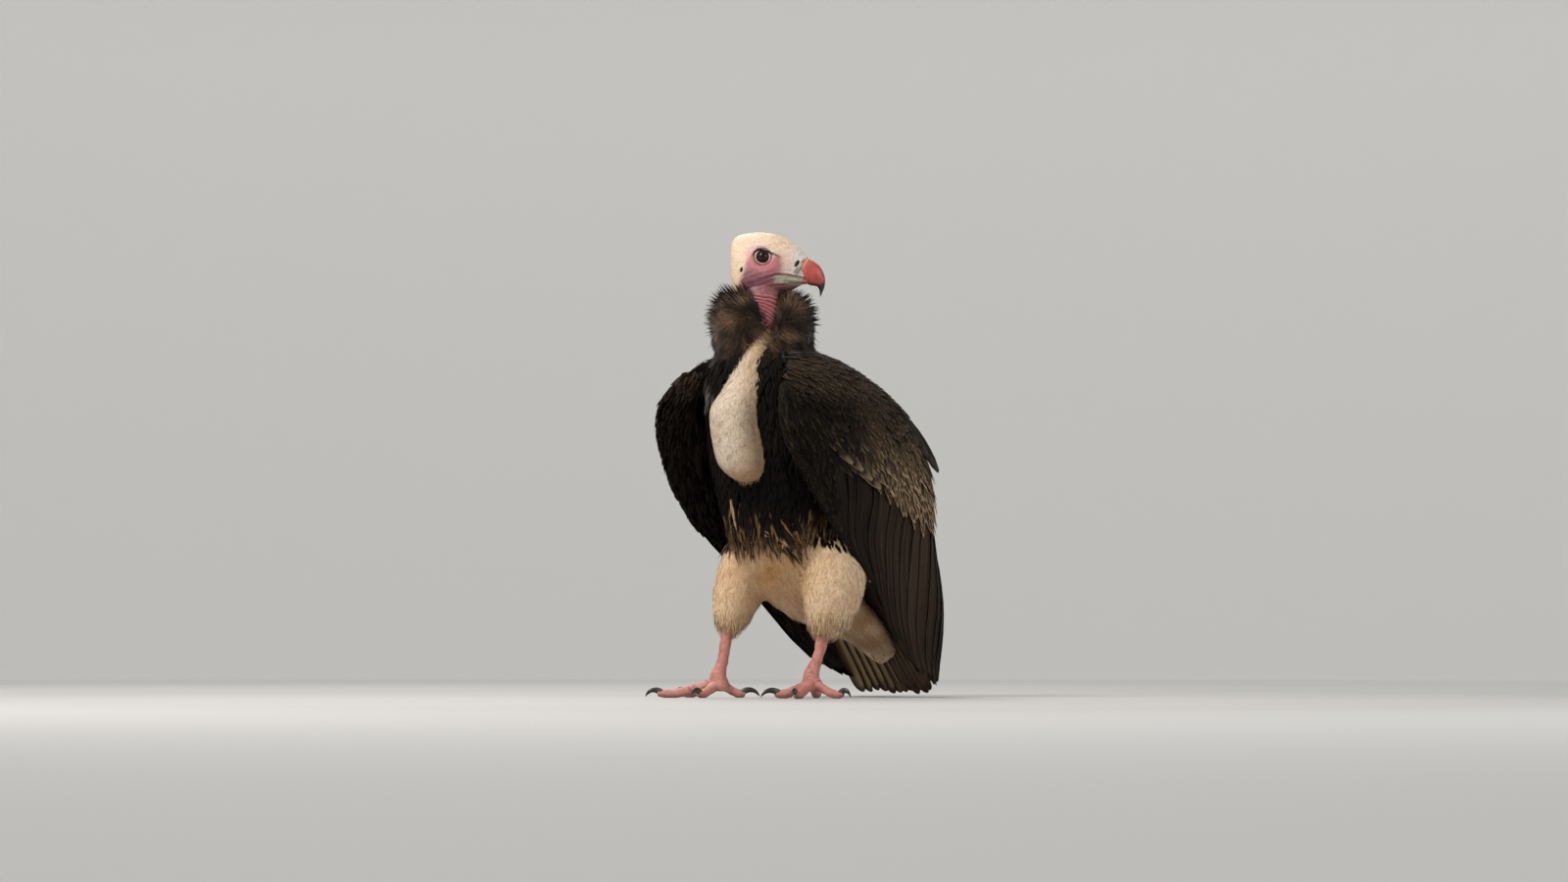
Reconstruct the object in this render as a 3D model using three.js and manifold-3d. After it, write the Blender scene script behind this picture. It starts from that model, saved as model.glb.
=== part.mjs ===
// White-headed vulture, life size, standing on both feet with the tip of its tail on the ground, its
// crop full and its head turned to its left. Millimetres, +Z up. The bird faces -Y and its left side is
// at +X. Each feathered solid follows the outline of the plumage; the bare parts (face, bill, shanks and
// toes) follow the skin. The shapes are lofts through a few stations: each station is a height, or a
// length along the part, with the sizes of the section there.

import * as THREE from 'three';
import { mergeVertices } from 'three/addons/utils/BufferGeometryUtils.js';
import Module from 'manifold-3d';

const wasm = await Module();
wasm.setup();

// ---------------------------------------------------------------- driving dimensions

const GAP = 0.4;                 // clearance between neighbouring pieces
const CROWN_HEIGHT = 690;        // ground to the top of the head
const HEAD_TURN = 37;            // heading of the bill from +X, in degrees; straight ahead is -90
const HEAD_CENTRE = [8, 8];      // plan position of the point between the eyes
const EYE_HEIGHT = CROWN_HEIGHT - 39;
const EYE_RADIUS = 11;
const EYE_SPREAD = 21.5;         // from the middle of the head to an eyeball's centre
const FOOT_RIGHT = { at: [-76, 0], toes: { inner: -80, middle: -128, outer: -168, hind: 45 } };
const FOOT_LEFT = { at: [76, 36], toes: { inner: -120, middle: -64, outer: -2, hind: 118 } };
const TOE_LENGTH = { inner: 56, middle: 92, outer: 64, hind: 40 };
const TOE_RADIUS = { inner: 7.4, middle: 7.6, outer: 6.8, hind: 7 };
const CLAW_LENGTH = { inner: 28, middle: 24, outer: 20, hind: 27 };
const PRESSED = 0.9;             // how far the soft pad of a toe is flattened where it stands
const TAIL_FEATHERS = 12;
const TAIL_THICKNESS = 7;

// ---------------------------------------------------------------- colours

const finish = (color, roughness) => new THREE.MeshStandardMaterial({ color, roughness, metalness: 0 });
const DARK_PLUMAGE = finish(0x2a211d, 0.75);
const BROWN_PLUMAGE = finish(0x4a3c32, 0.75);
const CREAM_DOWN = finish(0xe6d6bf, 0.9);
const HEAD_SKIN = finish(0xd9b7a6, 0.6);
const RED_HORN = finish(0xc8503f, 0.35);
const LEG_SKIN = finish(0xc98880, 0.6);
const CLAW_HORN = finish(0x3a302c, 0.4);
const EYE_GLOSS = finish(0x2b1a12, 0.08);

// ---------------------------------------------------------------- lofting

const radians = THREE.MathUtils.degToRad;

// A point between the rows of a station table, on a smooth curve through all of its columns.
function station(table, t) {
  const last = table.length - 1;
  const i = Math.min(Math.floor(t * last), last - 1);
  const f = t * last - i;
  const row = (k) => table[THREE.MathUtils.clamp(k, 0, last)];
  return table[0].map((_, c) => {
    const [a, b, d, e] = [row(i - 1)[c], row(i)[c], row(i + 1)[c], row(i + 2)[c]];
    return b + 0.5 * f * (d - a + f * (2 * a - 5 * b + 4 * d - e + f * (3 * (b - d) + e - a)));
  });
}

const rounded = (value, power) => Math.sign(value) * Math.abs(value) ** power;

// A closed solid through rings of points, with a flat fan at each end.
function loft(rings) {
  const sides = rings[0].length;
  const middle = (ring) => ring.reduce((sum, p) => sum.add(p), new THREE.Vector3()).divideScalar(sides);
  const points = [...rings.flat(), middle(rings[0]), middle(rings[rings.length - 1])];
  const [first, end] = [points.length - 2, points.length - 1];
  const faces = [];
  for (let r = 0; r < rings.length - 1; r++)
    for (let s = 0; s < sides; s++) {
      const [a, b] = [r * sides + s, r * sides + ((s + 1) % sides)];
      faces.push(a, b, b + sides, a, b + sides, a + sides);
    }
  const top = (rings.length - 1) * sides;
  for (let s = 0; s < sides; s++) {
    const n = (s + 1) % sides;
    faces.push(first, n, s, end, top + s, top + n);
  }
  const geometry = new THREE.BufferGeometry().setFromPoints(points);
  geometry.setIndex(faces);
  return geometry;
}

// Level sections of a body part: rows are [height, front, back, half-width, squareness, middle x].
function levelLoft(table, { slices, sides, grow = 0, shape = null }) {
  const rings = [];
  for (let k = 0; k <= slices; k++) {
    const t = k / slices;
    const [z, front, back, half, power, middle] = station(table, t);
    const swell = k === 0 || k === slices ? 0 : grow;
    const ends = k === 0 ? Math.sign(table[0][0] - table[1][0]) : 0;
    const lift = (k === slices ? Math.sign(table.at(-1)[0] - table[0][0]) : ends) * grow;
    const ring = [];
    for (let s = 0; s < sides; s++) {
      const a = (2 * Math.PI * s) / sides;
      const reach = shape ? shape(a, z) : 1;
      const x = middle + (half + swell) * rounded(Math.cos(a), 2 / power) * reach;
      const y = (front + back) / 2 + ((back - front) / 2 + swell) * rounded(Math.sin(a), 2 / power) * reach;
      ring.push(new THREE.Vector3(x, y, z + lift));
    }
    rings.push(ring);
  }
  return loft(rings);
}

// A tube of oval section along a smooth path: rows are [x, y, z, half-width, half-height].
// The half-width is measured level, across the path.
function tube(table, { slices, sides, grow = 0, across = null }) {
  const rings = [];
  const step = 0.5 / slices;
  for (let k = 0; k <= slices; k++) {
    const t = k / slices;
    const [x, y, z, wide, high] = station(table, t);
    const before = new THREE.Vector3(...station(table, Math.max(0, t - step)));
    const after = new THREE.Vector3(...station(table, Math.min(1, t + step)));
    const along = after.sub(before).normalize();
    const side = (across ? across.clone() : new THREE.Vector3(0, 0, 1).cross(along)).normalize();
    const up = along.clone().cross(side).normalize();
    const centre = new THREE.Vector3(x, y, z);
    if (k === 0) centre.addScaledVector(along, -grow);
    if (k === slices) centre.addScaledVector(along, grow);
    rings.push(Array.from({ length: sides }, (_, s) => {
      const a = (2 * Math.PI * s) / sides;
      return centre.clone()
        .addScaledVector(side, (wide + grow) * Math.cos(a))
        .addScaledVector(up, (high + grow) * Math.sin(a));
    }));
  }
  return loft(rings);
}

// ---------------------------------------------------------------- trunk, neck and crop

// Rows are [height, front, back, half-width, squareness, middle x].
const TRUNK = [
  [112, 120, 190, 22, 2, 0], [128, 74, 208, 48, 2, 0], [160, 32, 216, 70, 2.1, 0], [205, 0, 218, 88, 2.2, 0],
  [260, -24, 216, 97, 2.3, 0], [320, -44, 208, 103, 2.3, 0], [380, -56, 192, 105, 2.3, 0],
  [440, -60, 162, 101, 2.3, 0], [486, -56, 124, 90, 2.2, 0], [518, -46, 86, 68, 2.1, 0],
  [542, -34, 60, 46, 2, 0],
];
const trunk = (grow) => levelLoft(TRUNK, { slices: 15, sides: 22, grow });

// The full crop hangs in front of the breast. Its stalk runs up to the throat, which is twisted to the left.
const CROP = [
  [316, -56, -28, 12, 2, 9], [322, -72, -14, 28, 2, 10], [342, -90, 2, 39, 2, 10], [380, -96, 4, 41, 2.1, 7],
  [420, -93, 6, 39, 2.1, 3], [456, -82, 8, 33, 2, 12], [490, -74, 2, 24, 2, 26], [520, -67, -4, 17, 2, 40],
  [545, -58, -8, 12, 2, 48],
];
const crop = (grow) => levelLoft(CROP, { slices: 10, sides: 14, grow });

// The neck with its ruff. The ruff parts over the bare throat, which follows the head's turn.
const NECK = [
  [515, -54, 84, 76, 2, 0], [535, -60, 88, 79, 2, -1], [556, -60, 87, 79, 2, -1], [577, -54, 82, 74, 2, -2],
  [592, -42, 72, 63, 2, -3], [602, -26, 54, 46, 2, -4], [608, -8, 28, 24, 2, 0],
];
const THROAT_HEADING = radians(-32);
const THROAT_HALF_ANGLE = radians(26);
function ruffParting(a, z) {
  const away = Math.abs(((a - THROAT_HEADING + 3 * Math.PI) % (2 * Math.PI)) - Math.PI);
  const open = THREE.MathUtils.smoothstep(THROAT_HALF_ANGLE - away, 0, THROAT_HALF_ANGLE);
  const depth = 0.55 * THREE.MathUtils.smoothstep(z, 520, 560);
  return 1 - depth * open;
}
const neck = (grow) => levelLoft(NECK, { slices: 8, sides: 22, grow, shape: ruffParting });

// The white feathers under the base of the tail.
const UNDERTAIL = [
  [0, 150, 150, 56, 22], [0, 190, 130, 60, 26], [4, 230, 104, 54, 22], [10, 260, 83, 42, 16],
  [17, 281, 70, 25, 8],
];
const undertail = (grow) => tube(UNDERTAIL, { slices: 6, sides: 12, grow });

// ---------------------------------------------------------------- head

const HEADING = new THREE.Vector3(Math.cos(radians(HEAD_TURN)), Math.sin(radians(HEAD_TURN)), 0);
const TO_RIGHT = new THREE.Vector3(HEADING.y, -HEADING.x, 0);
const headPoint = (ahead, right, height) => new THREE.Vector3(HEAD_CENTRE[0], HEAD_CENTRE[1], height)
  .addScaledVector(HEADING, ahead)
  .addScaledVector(TO_RIGHT, right);

// Upright sections across the head: rows are [ahead of the eyes, chin, crown, half-width, narrowing].
// Heights are from the level of the eyes. Narrowing draws the crown in to the peak that shows from the front.
const HEAD = [
  [-49.5, -30, 14, 9, 0.1], [-46.5, -46, 27, 20, 0.15], [-38, -60, 34.5, 27, 0.22],
  [-22, -64, 38, 31, 0.28], [-4, -63, 39, 32, 0.3], [12, -60, 37.5, 30.5, 0.3], [27, -54, 31, 26, 0.3],
  [41, -46, 20, 20.5, 0.25], [53, -41, 10, 15.5, 0.2], [63, -27, 4.5, 12.5, 0.15],
];
function headSkin(grow) {
  const [slices, sides] = [14, 16];
  const rings = [];
  for (let k = 0; k <= slices; k++) {
    const [ahead, chin, crown, half, narrow] = station(HEAD, k / slices);
    const end = (k === 0 ? -grow : 0) + (k === slices ? grow : 0);
    const swell = end ? 0 : grow;
    rings.push(Array.from({ length: sides }, (_, s) => {
      const a = (2 * Math.PI * s) / sides;
      const rise = rounded(Math.sin(a), 0.92);
      const right = (half + swell) * rounded(Math.cos(a), 0.9) * (1 - narrow * rise);
      const up = (chin + crown) / 2 + ((crown - chin) / 2 + swell) * rise;
      return headPoint(ahead + end, right, EYE_HEIGHT + up);
    }));
  }
  return loft(rings);
}

// Hooked upper bill: rows are [ahead, height from the eyes, half-width, half-height].
const UPPER_BILL = [
  [63, -12, 12, 16.5], [70, -12.5, 11.5, 16.5], [77, -16.5, 10, 14], [82, -24, 7.8, 10.5],
  [84.5, -34, 5.2, 7], [85, -44, 3, 4.2], [83, -55, 0.7, 1],
];
const LOWER_BILL = [
  [30, -35, 11, 8], [42, -34.5, 10, 7.5], [54, -34.5, 8.5, 6.2], [64, -33, 6.5, 4.6], [73, -31, 3.5, 2.6],
];
function bill(table, slices, grow) {
  const rows = table.map(([ahead, height, wide, high]) => [
    ...headPoint(ahead, 0, EYE_HEIGHT + height).toArray(), wide, high]);
  return tube(rows, { slices, sides: 12, grow, across: TO_RIGHT });
}
const upperBill = (grow) => bill(UPPER_BILL, 9, grow);
const lowerBill = (grow) => bill(LOWER_BILL, 5, grow);

function eye(side, grow) {
  const centre = headPoint(0, side * EYE_SPREAD, EYE_HEIGHT);
  return new THREE.SphereGeometry(EYE_RADIUS + grow, 10, 7).translate(...centre.toArray());
}

// ---------------------------------------------------------------- wings

// Level sections of a folded wing, which wraps round the trunk from its leading edge, out along the
// side, past the outer corner at the back and in to the end of the inner feathers. Each row is
// [height, lead x, lead y, side x, side y, corner x, corner y, end x, end y, thickness].
const WING = [
  [512, 58, -8, 68, 20, 62, 56, 40, 80, 10],
  [498, 86, -38, 99, 20, 84, 90, 38, 116, 24],
  [474, 110, -64, 124, 20, 104, 130, 30, 152, 34],
  [442, 123, -82, 141, 32, 120, 180, 26, 200, 36],
  [400, 127, -86, 148, 62, 133, 216, 24, 236, 34],
  [345, 125, -72, 150, 84, 138, 238, 24, 252, 32],
  [298, 123, -48, 149, 106, 137, 248, 26, 260, 30],
  [248, 118, -6, 142, 124, 132, 258, 30, 268, 28],
  [192, 112, 72, 128, 160, 124, 280, 38, 290, 24],
  [132, 100, 128, 113, 200, 112, 304, 44, 308, 20],
  [78, 86, 182, 96, 246, 96, 317, 48, 320, 14],
  [42, 72, 238, 80, 286, 77, 333, 48, 336, 9],
  [14, 54, 326, 57, 344, 54, 359, 44, 359, 5],
];
const ARM_LOWER_END = 0.5;   // share of the station table that the arm and its coverts take up
const SWEPT_BACK = { left: 42, right: 5 };   // how far back each wing's lower front edge is drawn

// The sweep grows from the shoulder to half height and fades out again at the wing's tip.
const sweptShare = (z) =>
  THREE.MathUtils.smoothstep(420 - z, 0, 170) * THREE.MathUtils.smoothstep(z, 0, 60);

function wing(side, from, to, slices, grow) {
  const half = 8;
  const mirror = side === 'left' ? 1 : -1;
  const rings = [];
  for (let k = 0; k <= slices; k++) {
    const row = station(WING, THREE.MathUtils.lerp(from, to, k / slices));
    const z = row[0] + (k === 0 ? grow : 0) - (k === slices ? grow : 0);
    const plan = [[1, 2], [3, 4], [5, 6], [7, 8]].map(([x, y]) => new THREE.Vector3(row[x], row[y], 0));
    const swept = SWEPT_BACK[side] * sweptShare(row[0]);
    plan[0].y += swept;
    plan[1].y += swept / 2;
    const route = new THREE.CatmullRomCurve3(plan, false, 'centripetal');
    const thickness = row[9];
    const outer = [];
    const inner = [];
    for (let s = 0; s < half; s++) {
      const u = s / (half - 1);
      const along = route.getTangent(u);
      const beyond = s === 0 ? -2 * grow : s === half - 1 ? 2 * grow : 0;
      const p = route.getPoint(u).addScaledVector(along, beyond);
      const out = new THREE.Vector3(along.y, -along.x, 0);
      const bevel = Math.sqrt(Math.max(0, 1 - (2 * u - 1) ** 8)) + 0.12;
      const deep = Math.min(1, bevel) * thickness;
      outer.push(p.clone().addScaledVector(out, grow));
      inner.push(p.clone().addScaledVector(out, -deep - grow));
    }
    const ring = [...outer, ...inner.reverse()];
    rings.push(ring.map((p) => new THREE.Vector3(mirror * p.x, p.y, z)));
  }
  return loft(rings);
}
const wingArm = (side) => (grow) => wing(side, 0, ARM_LOWER_END, 7, grow);
const wingFlight = (side) => (grow) => wing(side, ARM_LOWER_END + 0.002, 1, 8, grow);

// ---------------------------------------------------------------- tail

// A shallow fan that slopes down to the ground. Its feathers end in steps, and the two middle ones
// are the longest.
const TAIL_ROOT = new THREE.Vector3(0, 176, 196);
const TAIL_TIP = new THREE.Vector3(0, 342, 0.5);
const TAIL_HALF_WIDTH = { root: 60, tip: 76 };
const TAIL_ARCH = 12;
function tail(grow) {
  const along = TAIL_TIP.clone().sub(TAIL_ROOT);
  const length = along.length();
  along.normalize();
  const up = new THREE.Vector3(0, -along.z, along.y);
  const across = TAIL_FEATHERS * 2;
  const rings = [];
  for (let c = 0; c <= across; c++) {
    const v = (2 * c) / across - 1;
    const notch = c % 2 === 0 ? 7 : 0;
    const reach = length - 16 * v * v - notch;
    const ring = [];
    const steps = 2;
    const place = (share, level) => {
      const half = THREE.MathUtils.lerp(TAIL_HALF_WIDTH.root, TAIL_HALF_WIDTH.tip, share) + grow;
      const drop = -TAIL_ARCH * v * v * (0.4 + 0.6 * share);
      return TAIL_ROOT.clone()
        .addScaledVector(along, share * reach)
        .addScaledVector(up, drop + level)
        .setX(v * half);
    };
    const edge = 0.35 + 0.65 * Math.sqrt(Math.max(0, 1 - v ** 6));
    for (let s = 0; s <= steps; s++) ring.push(place(s / steps, (TAIL_THICKNESS / 2) * edge + grow));
    for (let s = steps; s >= 0; s--) ring.push(place(s / steps, (-TAIL_THICKNESS / 2) * edge - grow));
    rings.push(ring);
  }
  return loft(rings);
}

// ---------------------------------------------------------------- legs and feet

// The feathered thigh of each leg: rows are [x, y, z, half-width, half-depth], from hip to ankle.
const THIGHS = {
  right: [[-52, 96, 262, 34, 48], [-62, 74, 222, 42, 52], [-72, 52, 178, 41, 46], [-77, 36, 140, 34, 37],
    [-78, 26, 112, 24, 26], [-78, 20, 98, 14, 15]],
  left: [[54, 116, 262, 34, 52], [64, 104, 222, 44, 58], [74, 88, 176, 45, 55], [79, 74, 134, 39, 45],
    [79, 63, 106, 28, 31], [78, 57, 90, 15, 16]],
};
const thigh = (side) => (grow) => tube(THIGHS[side], {
  slices: 7, sides: 14, grow, across: new THREE.Vector3(1, 0, 0) });

const FOOT = { right: FOOT_RIGHT, left: FOOT_LEFT };
function shank(side) {
  const [x, y] = FOOT[side].at;
  const [kneeX, kneeY, kneeZ] = THIGHS[side].at(-1);
  const rows = [[kneeX, kneeY + 1, kneeZ + 6, 8.5, 10], [kneeX, kneeY - 2, kneeZ - 12, 8, 9.5],
    [(kneeX + x) / 2, (kneeY + y) / 2, 56, 8, 9], [x, y, 34, 12, 11], [x, y, 20, 17, 15], [x, y, 10, 15, 13]];
  return (grow) => tube(rows, { slices: 8, sides: 10, grow, across: new THREE.Vector3(1, 0, 0) });
}

function toePath(side, digit) {
  const heading = radians(FOOT[side].toes[digit]);
  const out = new THREE.Vector3(Math.cos(heading), Math.sin(heading), 0);
  const [x, y] = FOOT[side].at;
  return (reach, z) => [x + out.x * reach, y + out.y * reach, z];
}
function toe(side, digit) {
  const point = toePath(side, digit);
  const reach = TOE_LENGTH[digit];
  const r = TOE_RADIUS[digit];
  const pad = 0.92 * r;
  const rows = [[...point(4, 21), r + 2, r + 1], [...point(0.28 * reach, 16), r, r],
    [...point(0.55 * reach, 9.5), r * 0.86, r * 0.9], [...point(0.78 * reach, pad - PRESSED), pad, pad],
    [...point(reach, 6.5), r * 0.55, r * 0.6]];
  return (grow) => tube(rows, { slices: 8, sides: 8, grow });
}
function claw(side, digit) {
  const point = toePath(side, digit);
  const start = TOE_LENGTH[digit] - 5;
  const reach = CLAW_LENGTH[digit];
  const rows = [[...point(start, 9), 3.6, 4.2], [...point(start + 0.4 * reach, 12), 3.2, 3.8],
    [...point(start + 0.75 * reach, 9.5), 2.1, 2.6], [...point(start + 0.98 * reach, 2), 0.5, 0.6]];
  return (grow) => tube(rows, { slices: 5, sides: 6, grow });
}

// ---------------------------------------------------------------- assembly

function toSolid(geometry) {
  const bare = geometry.index ? geometry.toNonIndexed() : geometry.clone();
  bare.deleteAttribute('normal');
  bare.deleteAttribute('uv');
  const merged = mergeVertices(bare, 1e-4);
  const triVerts = new Uint32Array(merged.index.array);
  const build = () => new wasm.Manifold(
    new wasm.Mesh({ numProp: 3, vertProperties: merged.attributes.position.array, triVerts }));
  const solid = build();
  if (solid.volume() > 0) return solid;
  for (let i = 0; i < triVerts.length; i += 3)
    [triVerts[i + 1], triVerts[i + 2]] = [triVerts[i + 2], triVerts[i + 1]];
  return build();
}

function toGeometry(solid) {
  const mesh = solid.getMesh();
  const geometry = new THREE.BufferGeometry();
  geometry.setAttribute('position', new THREE.BufferAttribute(new Float32Array(mesh.vertProperties), 3));
  geometry.setIndex(new THREE.BufferAttribute(new Uint32Array(mesh.triVerts), 1));
  geometry.computeVertexNormals();
  return geometry;
}

const ground = toSolid(new THREE.BoxGeometry(2000, 2000, 200).translate(0, 0, -100));
const group = new THREE.Group();

// Adds a piece, less the ground and the neighbours that it makes room for.
function add(name, shape, material, neighbours = []) {
  let solid = toSolid(shape(0)).subtract(ground);
  for (const neighbour of neighbours) solid = solid.subtract(toSolid(neighbour(GAP)));
  const [largest] = solid.decompose().sort((a, b) => b.volume() - a.volume());
  const mesh = new THREE.Mesh(toGeometry(largest), material);
  mesh.name = name;
  group.add(mesh);
}

const eyeRight = (grow) => eye(1, grow);
const eyeLeft = (grow) => eye(-1, grow);
const SIDES = ['left', 'right'];

add('trunk', trunk, DARK_PLUMAGE);
add('crop', crop, CREAM_DOWN, [trunk]);
add('eye_right', eyeRight, EYE_GLOSS);
add('eye_left', eyeLeft, EYE_GLOSS);
add('bill_upper', upperBill, RED_HORN);
add('bill_lower', lowerBill, RED_HORN, [upperBill]);
add('head', headSkin, HEAD_SKIN, [eyeRight, eyeLeft, upperBill, lowerBill]);
add('neck', neck, DARK_PLUMAGE, [trunk, crop, headSkin, ...SIDES.map(wingArm)]);
add('undertail', undertail, CREAM_DOWN, [trunk]);
add('tail', tail, BROWN_PLUMAGE, [trunk, undertail]);
for (const side of SIDES) {
  const [arm, flight, leg, foot] = [wingArm(side), wingFlight(side), thigh(side), shank(side)];
  add(`wing_${side}_arm`, arm, DARK_PLUMAGE, [trunk, crop]);
  add(`wing_${side}_flight`, flight, BROWN_PLUMAGE, [trunk, arm, tail, undertail]);
  add(`thigh_${side}`, leg, CREAM_DOWN, [trunk, arm, flight, undertail, tail]);
  add(`shank_${side}`, foot, LEG_SKIN, [leg]);
  const made = [foot];
  for (const digit of ['middle', 'inner', 'outer', 'hind']) {
    const [flesh, horn] = [toe(side, digit), claw(side, digit)];
    add(`toe_${side}_${digit}`, flesh, LEG_SKIN, made);
    add(`claw_${side}_${digit}`, horn, CLAW_HORN, [flesh]);
    made.push(flesh);
  }
}

// The origin is on the ground, at the middle of the bird's bounding box.
const box = new THREE.Box3().setFromObject(group);
group.position.set(-(box.min.x + box.max.x) / 2, -(box.min.y + box.max.y) / 2, 0);

export default group;
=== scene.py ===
import math

import bpy
import numpy as np
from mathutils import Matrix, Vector
from mathutils.bvhtree import BVHTree
from mathutils.kdtree import KDTree


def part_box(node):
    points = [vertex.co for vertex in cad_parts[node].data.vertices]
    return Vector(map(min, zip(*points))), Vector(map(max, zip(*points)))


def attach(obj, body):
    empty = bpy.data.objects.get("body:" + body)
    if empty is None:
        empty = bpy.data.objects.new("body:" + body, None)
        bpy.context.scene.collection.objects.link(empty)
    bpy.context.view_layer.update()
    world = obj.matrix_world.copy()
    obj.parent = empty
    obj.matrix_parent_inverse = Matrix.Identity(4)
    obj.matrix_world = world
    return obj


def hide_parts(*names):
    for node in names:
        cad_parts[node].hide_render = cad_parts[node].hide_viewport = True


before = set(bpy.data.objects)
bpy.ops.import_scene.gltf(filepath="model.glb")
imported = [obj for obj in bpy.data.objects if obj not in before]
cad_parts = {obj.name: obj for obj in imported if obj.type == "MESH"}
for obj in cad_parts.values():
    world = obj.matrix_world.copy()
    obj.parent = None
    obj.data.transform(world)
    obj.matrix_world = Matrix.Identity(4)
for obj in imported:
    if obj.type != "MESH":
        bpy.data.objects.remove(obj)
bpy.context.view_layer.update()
bpy.ops.object.select_all(action="DESELECT")

# ------------------------------------------------------------------ sizes and places

MM = 0.001
SIDES = {"left": 1, "right": -1}
DIGITS = ("middle", "inner", "outer", "hind")
EYE_HEIGHT = 651
EYE_RADIUS = 11
EYE_SPREAD = 21.5
HEAD_TURN = math.radians(37)
HEAD_CENTRE = np.array([8.0, 8.0, 0.0])
HEADING = np.array([math.cos(HEAD_TURN), math.sin(HEAD_TURN), 0.0])
TO_RIGHT = np.array([HEADING[1], -HEADING[0], 0.0])
UP = np.array([0.0, 0.0, 1.0])
BODY_AXIS = np.array([0, 90, 0])
FRONT_LEFT = math.radians(42)

low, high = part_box("eye_right")
eye_place = np.array((low + high) / 2) / MM
BIRD_ORIGIN = eye_place - (HEAD_CENTRE + TO_RIGHT * EYE_SPREAD + UP * EYE_HEIGHT)


def to_frame(points):
    return (np.asarray(points) + BIRD_ORIGIN) * MM


def to_bird(points):
    return np.asarray(points) / MM - BIRD_ORIGIN


def head_point(ahead, right, height):
    """A point placed from the middle of the head at the level of the eyes."""
    ahead, right, height = (np.asarray(v, float)[..., None] for v in (ahead, right, height))
    return HEAD_CENTRE + HEADING * ahead + TO_RIGHT * right + UP * (EYE_HEIGHT + height)


def head_place(points):
    """How far points are ahead, to the right and above the middle of the head."""
    away = points - HEAD_CENTRE
    return away @ HEADING, away @ TO_RIGHT, away[..., 2] - EYE_HEIGHT


# ------------------------------------------------------------------ small maths


def unit(v):
    return v / np.maximum(np.linalg.norm(v, axis=-1, keepdims=True), 1e-9)


def ramp(x, start, end):
    """0 before start, 1 after end, smooth between them."""
    t = np.clip((np.asarray(x, float) - start) / (end - start), 0, 1)
    return t * t * (3 - 2 * t)


def bell(x, middle, width):
    return np.exp(-(((x - middle) / width) ** 2))


def rounded(value, power):
    return np.sign(value) * np.abs(value) ** power


def circle(count):
    return np.linspace(0, 2 * math.pi, count, endpoint=False)


def shade(red, green, blue):
    """A display colour, 0 to 255, as linear light."""
    c = np.array([red, green, blue], float) / 255
    return np.where(c <= 0.04045, c / 12.92, ((c + 0.055) / 1.055) ** 2.4)


def blend(under, over, amount):
    amount = np.asarray(amount, float)[..., None]
    return under * (1 - amount) + over * amount


def layered(base, count, layers):
    """A colour for each of count points: each (colour, amount) is laid over the base in turn."""
    colour = np.tile(shade(*base) if isinstance(base, tuple) else base, (count, 1))
    for over, amount in layers:
        colour = blend(colour, shade(*over) if isinstance(over, tuple) else over, amount)
    return colour


def paint(colour, alpha=1.0):
    """Colours with the alpha that a material or a vane's pale edge reads."""
    return np.column_stack([np.clip(colour, 0, 1), np.broadcast_to(alpha, len(colour))])


def waves(points, size, seed, octaves=2):
    """A smooth random field from about -1 to 1, with features of the given size."""
    rng = np.random.default_rng(seed)
    total = np.zeros(len(points))
    for octave in range(octaves):
        for _ in range(7):
            direction = unit(rng.normal(size=3)) * 2 * math.pi / (size * rng.uniform(1.3, 2.6))
            total += np.sin(points @ direction * 2**octave + rng.uniform(0, 6.28)) / 2**octave
    return total / (2.6 * octaves**0.5)


def between(a, b, d, e, f):
    """The place at share f from b to d, on a smooth curve through a, b, d and e."""
    return b + 0.5 * f * (d - a + f * (2 * a - 5 * b + 4 * d - e + f * (3 * (b - d) + e - a)))


def station(table, t):
    """Points between the rows of a table, on a smooth curve through all its columns."""
    table = np.asarray(table, float)
    last = len(table) - 1
    at = np.atleast_1d(np.asarray(t, float)) * last
    i = np.clip(np.floor(at).astype(int), 0, last - 1)
    return between(*(table[np.clip(i + k, 0, last)] for k in (-1, 0, 1, 2)), (at - i)[:, None])


def line_distance(u, h, line):
    """Distance from points to a polyline in the side view, positive above it."""
    best = np.full(np.shape(u), 1e9)
    signed = np.zeros(np.shape(u))
    for (u0, h0), (u1, h1) in zip(line[:-1], line[1:]):
        du, dh = u1 - u0, h1 - h0
        t = np.clip(((u - u0) * du + (h - h0) * dh) / (du * du + dh * dh), 0, 1)
        off_u, off_h = u - u0 - t * du, h - h0 - t * dh
        away = np.hypot(off_u, off_h)
        side = np.sign(du * off_h - dh * off_u)
        closer = away < best
        best = np.where(closer, away, best)
        signed = np.where(closer, side * away, signed)
    return signed


# ------------------------------------------------------------------ mesh making


def ring_quads(count, sides, closed=False):
    """Faces between rings of points; if closed, the last ring is joined to the first."""
    r, s = np.meshgrid(np.arange(count if closed else count - 1), np.arange(sides), indexing="ij")
    n, m = (s + 1) % sides, (r + 1) % count
    return np.stack([r * sides + s, r * sides + n, m * sides + n, m * sides + s], -1).reshape(-1, 4)


def ring_solid(rings):
    """A closed solid through rings of points, with a fan at each end."""
    count, sides = rings.shape[:2]
    points = np.concatenate([rings.reshape(-1, 3), rings[:1].mean(1), rings[-1:].mean(1)])
    s = np.arange(sides)
    n = (s + 1) % sides
    first, last, top = count * sides, count * sides + 1, (count - 1) * sides
    fans = np.concatenate([np.stack([np.full(sides, first), n, s], -1),
                           np.stack([np.full(sides, last), top + s, top + n], -1)])
    faces = [ring_quads(count, sides), fans]
    a, b, c = (points[faces[0][:, k]] for k in (0, 1, 2))
    outward = np.einsum("ij,ij->", np.cross(b - a, c - a), (a + c) / 2 - points.mean(0))
    return points, faces if outward > 0 else [f[:, ::-1] for f in faces]


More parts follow.
